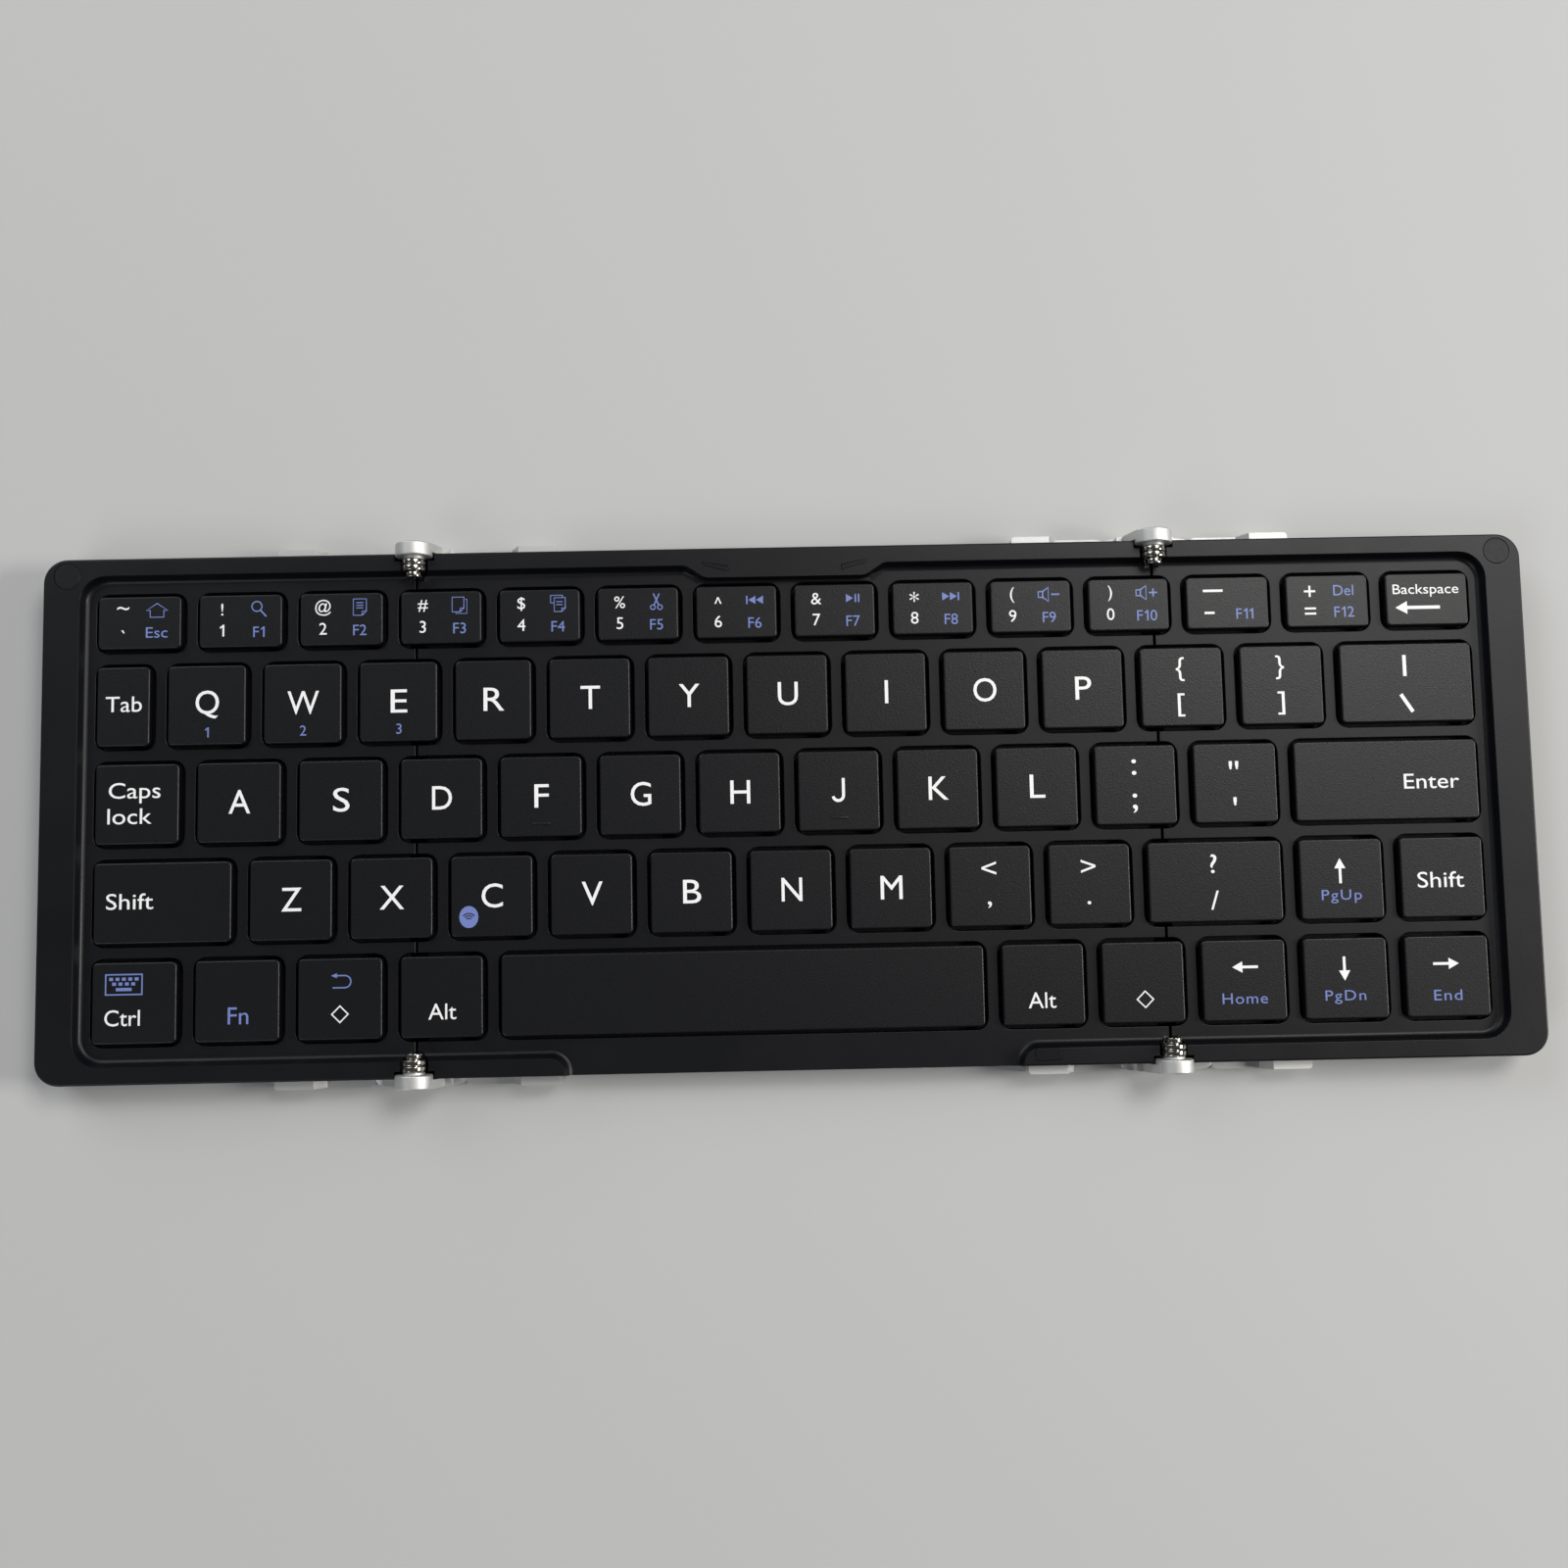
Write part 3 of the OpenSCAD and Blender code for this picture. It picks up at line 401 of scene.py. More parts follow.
# Silicone rubber: soft, matt and a little lighter than the covers, with a faint uneven bloom of
# about 0.7 mm that keeps its underside from shining.
silicone_rubber = new_material("dark_silicone_rubber", "#26272a", 0.72, {"IOR": 1.43})
grained(silicone_rubber, 1500.0, 4.0, roughness=(0.64, 0.82), relief=(0.2, 0.00005))

foot = post("foot", foot_radius, 0, 0, 0, cover_z + foot_recess, 64)
round_edges(foot, foot_edge, 4, level_at(0))
choose(foot, "FACE", lambda middle, normal: middle.z < 0.001)
step_in((foot_rim, 0), (foot_sink[0], -foot_sink[1]))
close()
for side, places in foot_places.items():
    feet = joined([another(foot, "foot", (x, y, 0)) for x, y in places], side + "_rubber_feet")
    finish(feet, panel_body[side], "foot_rubber", [silicone_rubber], [side + "_feet"])
bpy.data.objects.remove(foot)

# Blackened steel: a thin oxide over turned metal, dark and satin, uneven over about 0.4 mm.
black_steel = new_material("blackened_screw_steel", "#2c2c2e", 0.34, {"Metallic": 1.0})
grained(black_steel, 2500.0, 3.0, roughness=(0.26, 0.44))

screw = post("screw", screw_head, 0, 0, cover_z + glue_gap, cover_z + screw_head_depth)
choose(screw, "FACE", facing_up)
step_in((screw_head - screw_shank, 0))
draw_out((0, 0, screw_tip_z - cover_z - screw_head_depth - screw_tip))
step_in((screw_tip, screw_tip))
close()
round_edges(
    screw, screw_head_edge, 3,
    lambda a, b: level_at(cover_z + glue_gap)(a, b) and hypot(a.x, a.y) > screw_head - 0.01,
)
for x, y in ((cross_length, cross_width), (cross_width, cross_length)):
    deep = cover_z + glue_gap + cross_depth
    combine(screw, block("slot", -x / 2, x / 2, -y / 2, y / 2, cover_z - 1, deep))
for side, places in screw_places.items():
    screws = [another(screw, "screw", (x, y, 0)) for x, y in places]
    screws = joined(screws, side + "_cover_screws")
    finish(screws, panel_body[side], "screw_steel", [black_steel], [side + "_screws"])
bpy.data.objects.remove(screw)

# ---------------- insides
# Between cover and frame lie a pressed steel plate, a silicone sheet with one dome for each key,
# the keys' scissor links, and in the middle panel the circuit board, the battery and the
# magnets. They keep their built shapes; only what they are made of is set here.


def dress(nodes, material):
    """Gives built shapes their material."""
    for name in nodes:
        for material_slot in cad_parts[name].material_slots:
            material_slot.material = material


# Zinc-coated steel sheet: grey, satin, with rolling marks along the keyboard, about 0.1 mm
# apart in the metal and drawn at 0.6 mm so that they show.
plate_zinc = new_material("zinc_coated_plate_steel", "#5a5b5c", 0.4, {"Metallic": 1.0})
grained(plate_zinc, 1600.0, 3.0, roughness=(0.32, 0.5), stretch=(0.03, 1.0, 1.0))
dress(["left_key_plate", "centre_key_plate", "right_key_plate"], plate_zinc)

# Silicone sheet with its domes: soft and matt, and coloured near black as painted shade, so the
# gaps round the caps stay dark;
# it has a faint bloom of about 0.7 mm.
dome_silicone = new_material("dome_silicone_dark_as_painted_shade", "#0b0b0c", 0.75, {"IOR": 1.43})
grained(dome_silicone, 1500.0, 3.0, roughness=(0.66, 0.84))
dress(["left_switch_sheet", "centre_switch_sheet", "right_switch_sheet"], dome_silicone)

# Acetal scissor links: a waxy, slightly translucent black plastic with a low sheen and the
# flow pattern of the mould, about 0.8 mm.
black_acetal = new_material("black_acetal", "#121214", 0.38, {"IOR": 1.48})
grained(black_acetal, 1200.0, 3.0, roughness=(0.32, 0.46))
dress(["left_scissors", "centre_scissors", "right_scissors"], black_acetal)

# Solder mask over glass cloth: dark green and glossy, with the weave of the cloth, about 0.5 mm,
# showing faintly through it.
solder_mask = new_material("green_solder_mask", "#14452c", 0.28, {"IOR": 1.55})
place = add(solder_mask, "ShaderNodeTexCoord", {}).outputs["Object"]
weave = {"Scale": 2000.0, "Color1": colour("#14452c"), "Color2": colour("#184d32")}
cloth = add(solder_mask, "ShaderNodeTexChecker", {"Vector": place, **weave})
link(solder_mask, cloth.outputs["Color"], "Base Color")
dress(["main_board"], solder_mask)

# The battery's pouch: aluminium foil under clear nylon, bright, with soft creases of some
# millimetres.
pouch_foil = new_material("laminated_pouch_foil", "#b4b6b8", 0.3, {"Metallic": 1.0})
grained(pouch_foil, 180.0, 2.0, relief=(0.3, 0.0004))
dress(["battery"], pouch_foil)

# Polyimide film of the flat cables: amber and glossy, its copper tracks 1 mm apart seen as
# slightly darker bands.
polyimide = new_material("amber_polyimide_film", "#a86a22", 0.3, {"IOR": 1.65})
place = add(polyimide, "ShaderNodeTexCoord", {}).outputs["Object"]
tracks = add(polyimide, "ShaderNodeTexWave", {"Vector": place, "Scale": 50.0}, bands_direction="Y")
shades = {"Color1": colour("#8a5218"), "Color2": colour("#b87a2c")}
track_colour = add(polyimide, "ShaderNodeMixRGB", {"Fac": tracks.outputs["Fac"], **shades})
link(polyimide, track_colour.outputs["Color"], "Base Color")
dress(["flex_cables"], polyimide)

# ---------------- frames
# Each panel's top is one injection moulding in black ABS with a finely etched surface: a raised
# rim, a sunk deck with an opening for every key, and a thin wall along the folds. The metal
# covers screw up into it from below.

deck_underside = 3.6
deck_z = 5.75
rim_z = 7.5
rim_edge = 0.35  # rounding along the outside of the rim
wall = 1.4
fold_wall = 1.2
fold_axis_z = 7.65
well_half_width = 118.1  # at the foot of the rim's slope
well_half_depth = 40.1
well_corner = 3.5
rim_top_overhang = 1.15  # how far the slope leans out by the time it reaches the top
rim_slope_steps = [  # inwards, down
    (0.17, 0.04), (0.08, 0.10), (0.05, 0.16), (0.30, 0.75),
    (0.13, 0.28), (0.20, 0.24), (0.27, 0.14), (0.30, 0.06),
]
front_gap_half = 36.95  # the rim stops here at the front, at the foot of its slope
front_gap_corner = 3.55
front_gap_edge = 0.3
front_gap_reach = 6  # from the well's tool to past the front edge
tool_lift = 0.02  # a tool starts this much over the face that it sinks into
rear_pad_half = 13.6
rear_pad_foot = 16.7
rear_pad_y = 38.95
rear_pad_round = 0.7
rear_pad_lean = 0.15  # share of the rim's slope that the pad's front face has
column_pitch = 16.65
wing_keys_end = 117.6
web = 1.85  # between two openings
blank_reach = 6  # of the one cap and the one opening that the others are stretched from
opening_corner = 2.0
opening_depth = 4
opening_edge = 0.15  # rounding along the openings
opening_edge_steps = [(0.075, 0.020), (0.055, 0.055), (0.020, 0.075)]
# For each row: its rear edge, its depth, the keys on the left wing, where they end, the keys
# on the centre panel, where they end, and the keys on the right wing. Widths are in columns,
# and a wing's keys share the width that is left there.
key_rows = [
    (39.1, 12.0, [1, 1, 1], 4, [1, 1, 1, 1, 1, 1, 1, 1], 4, [1, 1, 1]),
    (27.1, 16.5, [0.74, 1, 1, 1], 3.45, [0.95, 1, 1, 1, 1, 1, 1], 3.5, [1, 1, 1.5]),
    (10.6, 16.5, [1, 1, 1], 4, [1, 1, 1, 1, 1, 1, 1, 1], 4, [1, 2]),
    (-5.9, 16.5, [1.55, 1, 1], 3.5, [1, 1, 1, 1, 1, 1, 1], 3.5, [1.5, 1, 1]),
    (-22.4, 16.5, [1, 1, 1], 4, [1, 5, 1, 1], 4, [1, 1, 1]),
]
magnet_radius = 2.2
magnet_depth = 1.5
magnet_x = 121.15
magnet_y = 41.1
leaf_middle = (11.8, 40.7)
window_depth = 0.8
sensor_middle = (42.0, -42.1)
sensor_size = (4.5, 2.0)
sensor_round = 0.45
socket_half_width = 3.75
socket_bottom = 1.45
socket_top = 4.05
knuckle_radius = 3.1
knuckle_inner_y = 42.85
washer_radius = 2.0
pin_head_y = 39.76
tab_y = 39.8
tab_end = 8.6
tab_top = 2.8
hinge_room = 0.15  # round the hinges' pieces in the frames
drum_room = 0.25  # round the drums
ring_room = 0.3  # round the flanges, washers and pin heads
socket_gap = 0.15
socket_round = 0.95
socket_room_round = 1.2
cap_gap = 0.6  # from a cap to its opening, all round
cap_bottom = 5.1
swing_room = 0.12
outside_y = 46  # past the front and the rear edge
tab_room_y = 45.1
socket_back_y = 39.5
end_hollow_depth = 77.2  # of the hollows inside the wings' end rims
end_hollow_wall = (0.95, 1.5)  # between such a hollow and the well, and over it
leaf_half_length = 2.2
leaf_reach = (0.8, 0.95)  # of the leaf shape to the front and to the rear
leaf_slope = (0.85, 1.3)  # how far its ends are drawn in, inner and outer
leaf_round = 1.1


def key_places():
    """Every opening as (panel, middle x, middle y, width, depth)."""
    found = []
    for rear, depth, left, left_end, centre, right_start, right in key_rows:
        stretches = [
            ("left", left, -wing_keys_end, -left_end * column_pitch),
            ("centre", centre, -left_end * column_pitch, right_start * column_pitch),
            ("right", right, right_start * column_pitch, wing_keys_end),
        ]
        for panel, shares, start, end in stretches:
            x = start
            for share in shares:
                across = (end - start) * share / sum(shares)
                middle = x + across / 2
                found.append((panel, middle, rear - depth / 2, across - web, depth - web))
                x += across
    return found


def stretched(piece, width, depth):
    """Pulls the two halves of a piece apart, each way, until it has this width and depth."""
    low, high = piece.bound_box[0], piece.bound_box[6]
    for axis, size in enumerate((width, depth)):
        more = (size - (high[axis] - low[axis])) / 2
        for side in (-1, 1):
            shift = [0, 0, 0]
            shift[axis] = side * more
            move_points(piece, shift, lambda co: co[axis] * side > 0)
    return piece


def everywhere(*place):
    """A test that passes all."""
    return True


def slice_across(piece, axis, places):
    """Cuts new edges round a piece at each of these distances along an axis."""
    choose(piece, "FACE", everywhere)
    for place_on_axis in places:
        bpy.ops.mesh.select_all(action="SELECT")
        point, direction = [0, 0, 0], [0, 0, 0]
        point[axis], direction[axis] = place_on_axis, 1
        bpy.ops.mesh.bisect(plane_co=point, plane_no=direction)
    close()


# the well, as the shape of the tool that sinks it: a flat slab, T-shaped where the rim has its
# gap at the front, whose underside steps down the rim's slope to the deck
top = rim_top_overhang
well = block(
    "well", -well_half_width - top, well_half_width + top, -well_half_depth - top,
    well_half_depth + top, rim_z + tool_lift, rim_z + 3,
)
gap = front_gap_half + top
slice_across(well, 0, (-gap, -rear_pad_foot, -rear_pad_half, rear_pad_half, rear_pad_foot, gap))
pull(
    well, lambda middle, normal: normal.y < -0.9 and abs(middle.x) < gap,
    (0, -front_gap_reach, 0),
)
move_points(
    well, (0, rear_pad_y - well_half_depth - top, 0),
    lambda co: co.y > 0 and abs(co.x) < rear_pad_half + 0.1,
)
round_edges(
    well, well_corner + top, 8,
    lambda a, b: upright(a, b) and abs(a.x) > well_half_width,
)
round_edges(
    well, front_gap_corner - top, 8,
    lambda a, b: upright(a, b) and same(abs(a.x), gap) and same(a.y, -well_half_depth - top),
)
round_edges(
    well, rear_pad_round, 4,
    lambda a, b: upright(a, b) and a.y > 0 and rear_pad_half - 1 < abs(a.x) < rear_pad_foot + 1,
)
choose(well, "FACE", facing_down)
bpy.ops.mesh.dissolve_faces()
step_in(*rim_slope_steps)
close()
z, inset = rim_z + tool_lift, 0
for inwards, down in rim_slope_steps:
    z -= down
    inset += inwards
    move_points(
        well, (0, inset * (1 - rear_pad_lean), 0),
        lambda co: same(co.z, z) and abs(co.x) < rear_pad_half + top and co.y > 0,
    )

# one key opening, as the shape of its cutter: it flares at the top, which rounds the webs
reach = (-blank_reach, blank_reach)
opening = block("opening", *reach, *reach, deck_z, deck_z + tool_lift)
round_edges(opening, opening_corner + opening_edge, 5, upright)
choose(opening, "FACE", facing_down)
step_in(*opening_edge_steps)
draw_out((0, 0, -opening_depth))
close()
openings = []
more = 2 * opening_edge
for panel, x, y, width, depth in key_places():
    cutter = stretched(another(opening, "opening"), width + more, depth + more)
    cutter.location = (x, y, 0)
    openings.append(settle(cutter))
bpy.data.objects.remove(opening)

shell = block("shell", -half_width, half_width, -half_depth, half_depth, bay_z, rim_z)
round_edges(shell, corner_radius, corner_segments, upright)
round_edges(shell, rim_edge, 4, level_at(rim_z))
combine(shell, well)
round_edges(
    shell, front_gap_edge, 3,
    lambda a, b: level_at(deck_z)(a, b) and a.y < -half_depth + 0.01 and b.y < -half_depth + 0.01,
)
combine(shell, joined(openings, "openings"))

# the hollow inside, the saw cuts along the folds, and the hollows in the wings' end rims
inner_fold = fold_slit / 2 + fold_wall
reach = (-half_depth + wall, half_depth - wall)
bays = []
for x0, x1 in (
        (-half_width + wall, -fold_x - inner_fold),
        (-fold_x + inner_fold, fold_x - inner_fold),
        (fold_x + inner_fold, half_width - wall)):
    bays.append(block("bay", x0, x1, *reach, bay_z - 1, deck_underside))
bay = joined(bays, "bay")
round_edges(bay, corner_radius - wall, 6, lambda a, b: upright(a, b) and abs(a.x) > half_width - 2)
combine(shell, bay)
side_hollows = []
for side in (-1, 1):
    reach = sorted((side * (well_half_width + end_hollow_wall[0]), side * (half_width - wall)))
    side_hollows.append(block(
        "hollow", *reach, -end_hollow_depth / 2, end_hollow_depth / 2,
        deck_underside - 1, rim_z - end_hollow_wall[1],
    ))
combine(shell, joined(side_hollows, "hollows"))
for cuts in (saw_cuts(bay_z - 1, rim_z + 1), chamfer_cuts(deck_z), chamfer_cuts(rim_z)):
    combine(shell, joined(cuts, "cuts"))


def axle(name, radius, y0, y1, sides, x=0):
    """A round blank that lies on a fold's axis."""
    return rod(name, radius, (x, y0, fold_axis_z), (x, y1, fold_axis_z), sides)


# room for the hinges: the knuckle, the rings inside it, and the screwed tabs
knuckle_rooms, ring_rooms, tab_rooms = [], [], []
for side in (-1, 1):
    for end in (-1, 1):
        x = side * fold_x
        radius, start = knuckle_radius + drum_room, end * (knuckle_inner_y - hinge_room)
        knuckle_rooms.append(axle("room", radius, start, end * outside_y, 48, x))
        radius, start = washer_radius + ring_room, end * (pin_head_y - hinge_room)
        ring_rooms.append(axle("room", radius, start, end * knuckle_inner_y, 40, x))
        near, far = sorted((end * (tab_y - hinge_room), end * tab_room_y))
        tab_rooms.append(block(
            "room", x - tab_end - hinge_room, x + tab_end + hinge_room, near, far,
            bay_z - 1, tab_top + hinge_room,
        ))
for rooms in (knuckle_rooms, ring_rooms, tab_rooms):
    combine(shell, joined(rooms, "rooms"))


def pad(name, middle, size, bottom, top, more=0.0):
    """A square blank round a middle, larger than its size by this much more on each side."""
    across, along = size[0] / 2 + more, size[1] / 2 + more
    x, y = middle
    return block(name, x - across, x + across, y - along, y + along, bottom, top)


def face_out(piece):
    """Turns all normals of a piece outwards."""
    choose(piece, "FACE", everywhere)
    bpy.ops.mesh.normals_make_consistent(inside=False)
    close()


def leaf(name, side, gap, bottom, top):
    """A window like half a leaf: straight along the rear, rounded in front, pointed outwards."""
    x, y = leaf_middle
    reach = leaf_half_length + gap
    blank = block(name, -reach, reach, -leaf_reach[0] - gap, leaf_reach[1] + gap, bottom, top)
    move_points(blank, (0, -leaf_slope[0], 0), lambda co: co.x < 0 and co.y > 0)
    move_points(blank, (0, leaf_slope[1], 0), lambda co: co.x > 0 and co.y < 0)
    front = -leaf_reach[0] - gap + leaf_slope[1]
    round_edges(blank, leaf_round, 6, lambda a, b: upright(a, b) and a.x > 0 and same(a.y, front))
    blank.scale = (side, 1, 1)
    blank.location = (side * x, y, 0)
    settle(blank)
    face_out(blank)
    return blank


# pockets for the magnets, the windows and the charging socket
pockets = []
for side in (-1, 1):
    x, radius = side * magnet_x, magnet_radius + glue_gap
    pockets.append(post("pocket", radius, x, magnet_y, rim_z - magnet_depth, rim_z + 1, 48))
socket_room = block(
    "pocket", -socket_half_width - socket_gap, socket_half_width + socket_gap,
    socket_back_y - socket_gap, outside_y, socket_bottom - socket_gap, socket_top + socket_gap,
)
round_edges(socket_room, socket_room_round, 6, along_y)
pockets.append(socket_room)
sensor_room = pad("pocket", sensor_middle, sensor_size, rim_z - window_depth, rim_z + 1, glue_gap)
round_edges(sensor_room, sensor_round + glue_gap, 4, upright)
pockets.append(sensor_room)
for side in (-1, 1):
    pockets.append(leaf("pocket", side, glue_gap, rim_z - window_depth, rim_z + 1))
combine(shell, joined(pockets, "pockets"))

# the arc that each key reaching over a fold sweeps, cut into the neighbouring panel
frames = panels_of(shell, "top_frame")
for panel, x, y, width, depth in key_places():
    for side, wing in ((-1, "left"), (1, "right")):
        over = width / 2 - cap_gap - abs(x - side * fold_x)
        near = panel == "centre" and x * side > 0 or panel == wing
        if near and over > 0:
            other = wing if panel == "centre" else "centre"
            radius = hypot(over, fold_axis_z - cap_bottom) + swing_room
            reach = depth / 2 - opening_corner
            combine(frames[other], axle("sweep", radius, y - reach, y + reach, 64, side * fold_x))

# Black ABS from an etched mould: nearly black with a trace of blue, and an etched grain of about
# 0.24 mm that scatters the lamps into a dull satin sheen, a little uneven over about a
# centimetre. The pits of the etching shade one another, so the specular level is under its usual
# half.
moulded_abs = new_material(
    "etched_black_abs", "#07080d", 0.41, {"IOR": 1.53, "Specular IOR Level": 0.31}
)
grained(moulded_abs, 4200.0, 2.0, relief=(0.3, 0.00004))
grained(moulded_abs, 90.0, 3.0, roughness=(0.39, 0.44))
for side, piece in frames.items():
    finish(piece, panel_body[side], "black_frame", [moulded_abs], [side + "_frame"])

# ---------------- magnets, windows and socket
# Two disc magnets are pressed into the rim's rear corners and hold the folded wings shut. Three
# smoked acrylic windows cover the indicator lamps and a sensor. The charging socket is a drawn
# steel shell with a contact tongue, open at the middle of the rear edge.

magnet_edge = 0.12
window_z = rim_z - 0.02  # the windows lie a hair under the rim
window_edge = 0.08
socket_mouth_y = 43.9
socket_wall = 0.3
socket_floor = 0.6  # from the shell's back to the floor of the mouth
tongue_half_width = 1.875
tongue_back_y = 40.0
tongue_bottom = 2.65
tongue_top = 3.15
tongue_end_y = 43.2
tongue_edge = 0.12
contact_count = 5
contact_half_width = 0.17
contact_half_thickness = 0.04
contact_reach = (2.2, 0.4)  # from the tongue's end to the contact's two ends

# Black-plated magnets: a thin epoxy coat with a dull, slightly mottled gloss, so that the discs
# stand out from the etched rim only faintly. As on the rim, pits shade one another.
black_coat = new_material(
    "epoxy_coated_magnet", "#0a0b0f", 0.5, {"IOR": 1.53, "Specular IOR Level": 0.31}
)
grained(black_coat, 2200.0, 3.0, roughness=(0.42, 0.5))
for side, name in ((-1, "left"), (1, "right")):
    x = side * magnet_x
    disc = post(name + "_disc_magnet", magnet_radius, x, magnet_y, rim_z - magnet_depth, rim_z, 64)
    round_edges(disc, magnet_edge, 3, level_at(rim_z))
    finish(disc, panel_body[name], "magnet_black", [black_coat], [name + "_magnet"])
dress(["centre_magnets"], black_coat)

# Smoked acrylic: nearly opaque grey plastic with a semi-matt face, almost as dull as the etched
# frame around it and with its specular level lowered alike, so that mainly its outline shows; a
# waviness of about 1 mm breaks its sheen.
smoked_acrylic = new_material(
    "smoked_acrylic", "#0c0d12", 0.37, {"IOR": 1.49, "Specular IOR Level": 0.33}
)
grained(smoked_acrylic, 900.0, 1.0, relief=(0.1, 0.00005))
windows = [leaf("window", side, 0, rim_z - window_depth, window_z) for side in (-1, 1)]
windows.append(pad("window", sensor_middle, sensor_size, rim_z - window_depth, window_z))
round_edges(windows[-1], sensor_round, 5, upright)
windows = joined(windows, "indicator_windows")
round_edges(windows, window_edge, 2, level_at(window_z))
finish(windows, "centre_panel", "window_smoke", [smoked_acrylic], ["rim_windows"])

# Nickel-plated steel for the socket's shell: bright and smooth, with fine drawing marks that run
# in and out of the mouth, about 0.1 mm apart and drawn at 0.4 mm so that they show.
nickel_plate = new_material("nickel_plated_steel", "#c9c6bf", 0.24, {"Metallic": 1.0})
grained(nickel_plate, 2500.0, 2.0, roughness=(0.18, 0.34), stretch=(1.0, 0.08, 1.0))

# Glass-filled nylon of the tongue: flat black, with a trace of fibre of about 0.3 mm in it.
black_nylon = new_material("glass_filled_black_nylon", "#17171a", 0.55, {"IOR": 1.53})
grained(black_nylon, 3000.0, 2.0, relief=(0.3, 0.00003))

# Gold-plated contacts: a warm metal, lightly brushed where plugs have slid over it.
gold_plate = new_material("gold_plated_contact", "#d9b568", 0.25, {"Metallic": 1.0})
grained(gold_plate, 2800.0, 2.0, roughness=(0.2, 0.36))


socket_shell = block(
    "shell", -socket_half_width, socket_half_width, socket_back_y, socket_mouth_y,
    socket_bottom, socket_top,
)
round_edges(socket_shell, socket_round, 6, along_y)
choose(socket_shell, "FACE", lambda middle, normal: normal.y > 0.9)
step_in((socket_wall, 0))
draw_out((0, socket_back_y + socket_floor - socket_mouth_y, 0))
close()
socket_shell.data.materials.append(nickel_plate)
tongue = block(
    "tongue", -tongue_half_width, tongue_half_width, tongue_back_y, tongue_end_y,
    tongue_bottom, tongue_top,
)
round_edges(
    tongue, tongue_edge, 2,
    lambda a, b: same(a.y, tongue_end_y) and same(b.y, tongue_end_y),
)
tongue.data.materials.append(black_nylon)
socket_parts = [socket_shell, tongue]
for number in range(contact_count):
    x = tongue_half_width * (2 * number + 1 - contact_count) / (contact_count + 1)
    contact = block(
        "contact", x - contact_half_width, x + contact_half_width, tongue_end_y - contact_reach[0],
        tongue_end_y - contact_reach[1], tongue_bottom - contact_half_thickness,
        tongue_bottom + contact_half_thickness,
    )
    contact.data.materials.append(gold_plate)
    socket_parts.append(contact)
socket = joined(socket_parts, "charging_socket_shell")
finish(socket, "centre_panel", "socket_steel", None, ["charging_socket"])

# ---------------- hinges
# Four friction hinges. Each has two die-cast zinc arms, plated in satin nickel: the centre
# panel's carries a drum, the wing's a flange beside it. A steel pin is pressed into the drum
# and runs through the flange and a spring washer. Tabs on the arms are screwed under the frames.

arm_inner_y = 44.1
arm_outer_y = 45.55
arm_bottom = 0.5
arm_low_top = 2.0  # of the thin stretch of each bar
arm_block_top = 5.0  # of the thick block at its end
arm_block_from = 17.2
arm_slope_from = 15.7
arm_end = 23.7
arm_end_round = 0.6
wing_arm_from = 3.4
wing_block_to = 4.5  # the block beside the drum
wing_block_rise = 1.2
shoulder_from = 5.3  # where the bar rounds off into its groove
groove_from = 7.6
groove_to = 7.84
groove_metal = 0.45  # left behind the groove
groove_round = 0.5
tab_corner = 0.8
overlap = 0.02  # of shapes that become one
shoulder_steps = 6
flange_y = (41.82, 42.72)
washer_y = (40.79, 41.69)
ring_bevel = 0.12
drum_bevel = 0.28
collar = (1.75, 0.35)  # radius and length of the drum's neck, next to the flange
tail_from = -2.6
tail_to = 4.2  # the upright plate's two sides at its foot
tail_shoulder = 1.6  # height of the plate's foot over the bar
tail_rises = (0.8, 2.65, 2.15)  # the steps in which the plate then goes up
tail_draws_in = (0.7, 1.5)  # how far its side comes in at the last two of them
lug_x = (0.6, 4.0)
lug_rise = 3.65
lug_draws_in = 2.2
pin_radius = 1.0
pin_fit = 0.025  # round the pin in the drum
pin_clearance = 0.05  # round the pin elsewhere
pin_head_radius = 1.4
pin_head_depth = 0.9
pin_tip_y = 44.95
drum_floor_y = 45.05  # where the bore in the drum ends
tumbled = 0.14  # width of a casting's broken edges


def merge(piece, distance):
    """Makes one point of those that lie together."""
    choose(piece, "VERT", everywhere)
    bpy.ops.mesh.remove_doubles(threshold=distance)
    close()


def arm_bar(name, start):
    """The bar that lies along the front of a frame, from its start beside the drum."""
    bar = block(name, start, arm_end, arm_inner_y, arm_outer_y, arm_bottom, arm_low_top)
    turns = [step / shoulder_steps * pi / 2 for step in range(1, shoulder_steps + 1)]
    reach = groove_from - shoulder_from
    rounding = [shoulder_from + reach * sin(turn) for turn in turns]
    slice_across(bar, 0, [shoulder_from] + rounding + [groove_to, arm_slope_from, arm_block_from])
    depth = arm_outer_y - arm_inner_y - groove_metal
    for x, turn in zip(rounding, turns):
        move_points(
            bar, (0, -depth * (1 - cos(turn)), 0),
            lambda co: same(co.x, x) and same(co.y, arm_outer_y),
        )
    rise = arm_block_top - arm_low_top
    pull(bar, lambda middle, normal: normal.z > 0.9 and middle.x > arm_slope_from, (0, 0, rise))
    move_points(
        bar, (0, 0, -rise),
        lambda co: same(co.x, arm_slope_from) and same(co.z, arm_block_top),
    )
    merge(bar, 0.001)
    round_edges(
        bar, arm_end_round, 5,
        lambda a, b: upright(a, b) and same(a.x, arm_end) and same(a.y, arm_outer_y),
    )
    round_edges(
        bar, groove_round, 4,
        lambda a, b: upright(a, b) and same(a.x, groove_to) and same(a.y, arm_outer_y),
    )
    return bar


def top_within(z, x):
    """A test for the top faces of a bar that lie at a height and end before a place along it."""
    return lambda middle, normal: normal.z > 0.9 and same(middle.z, z) and middle.x < x


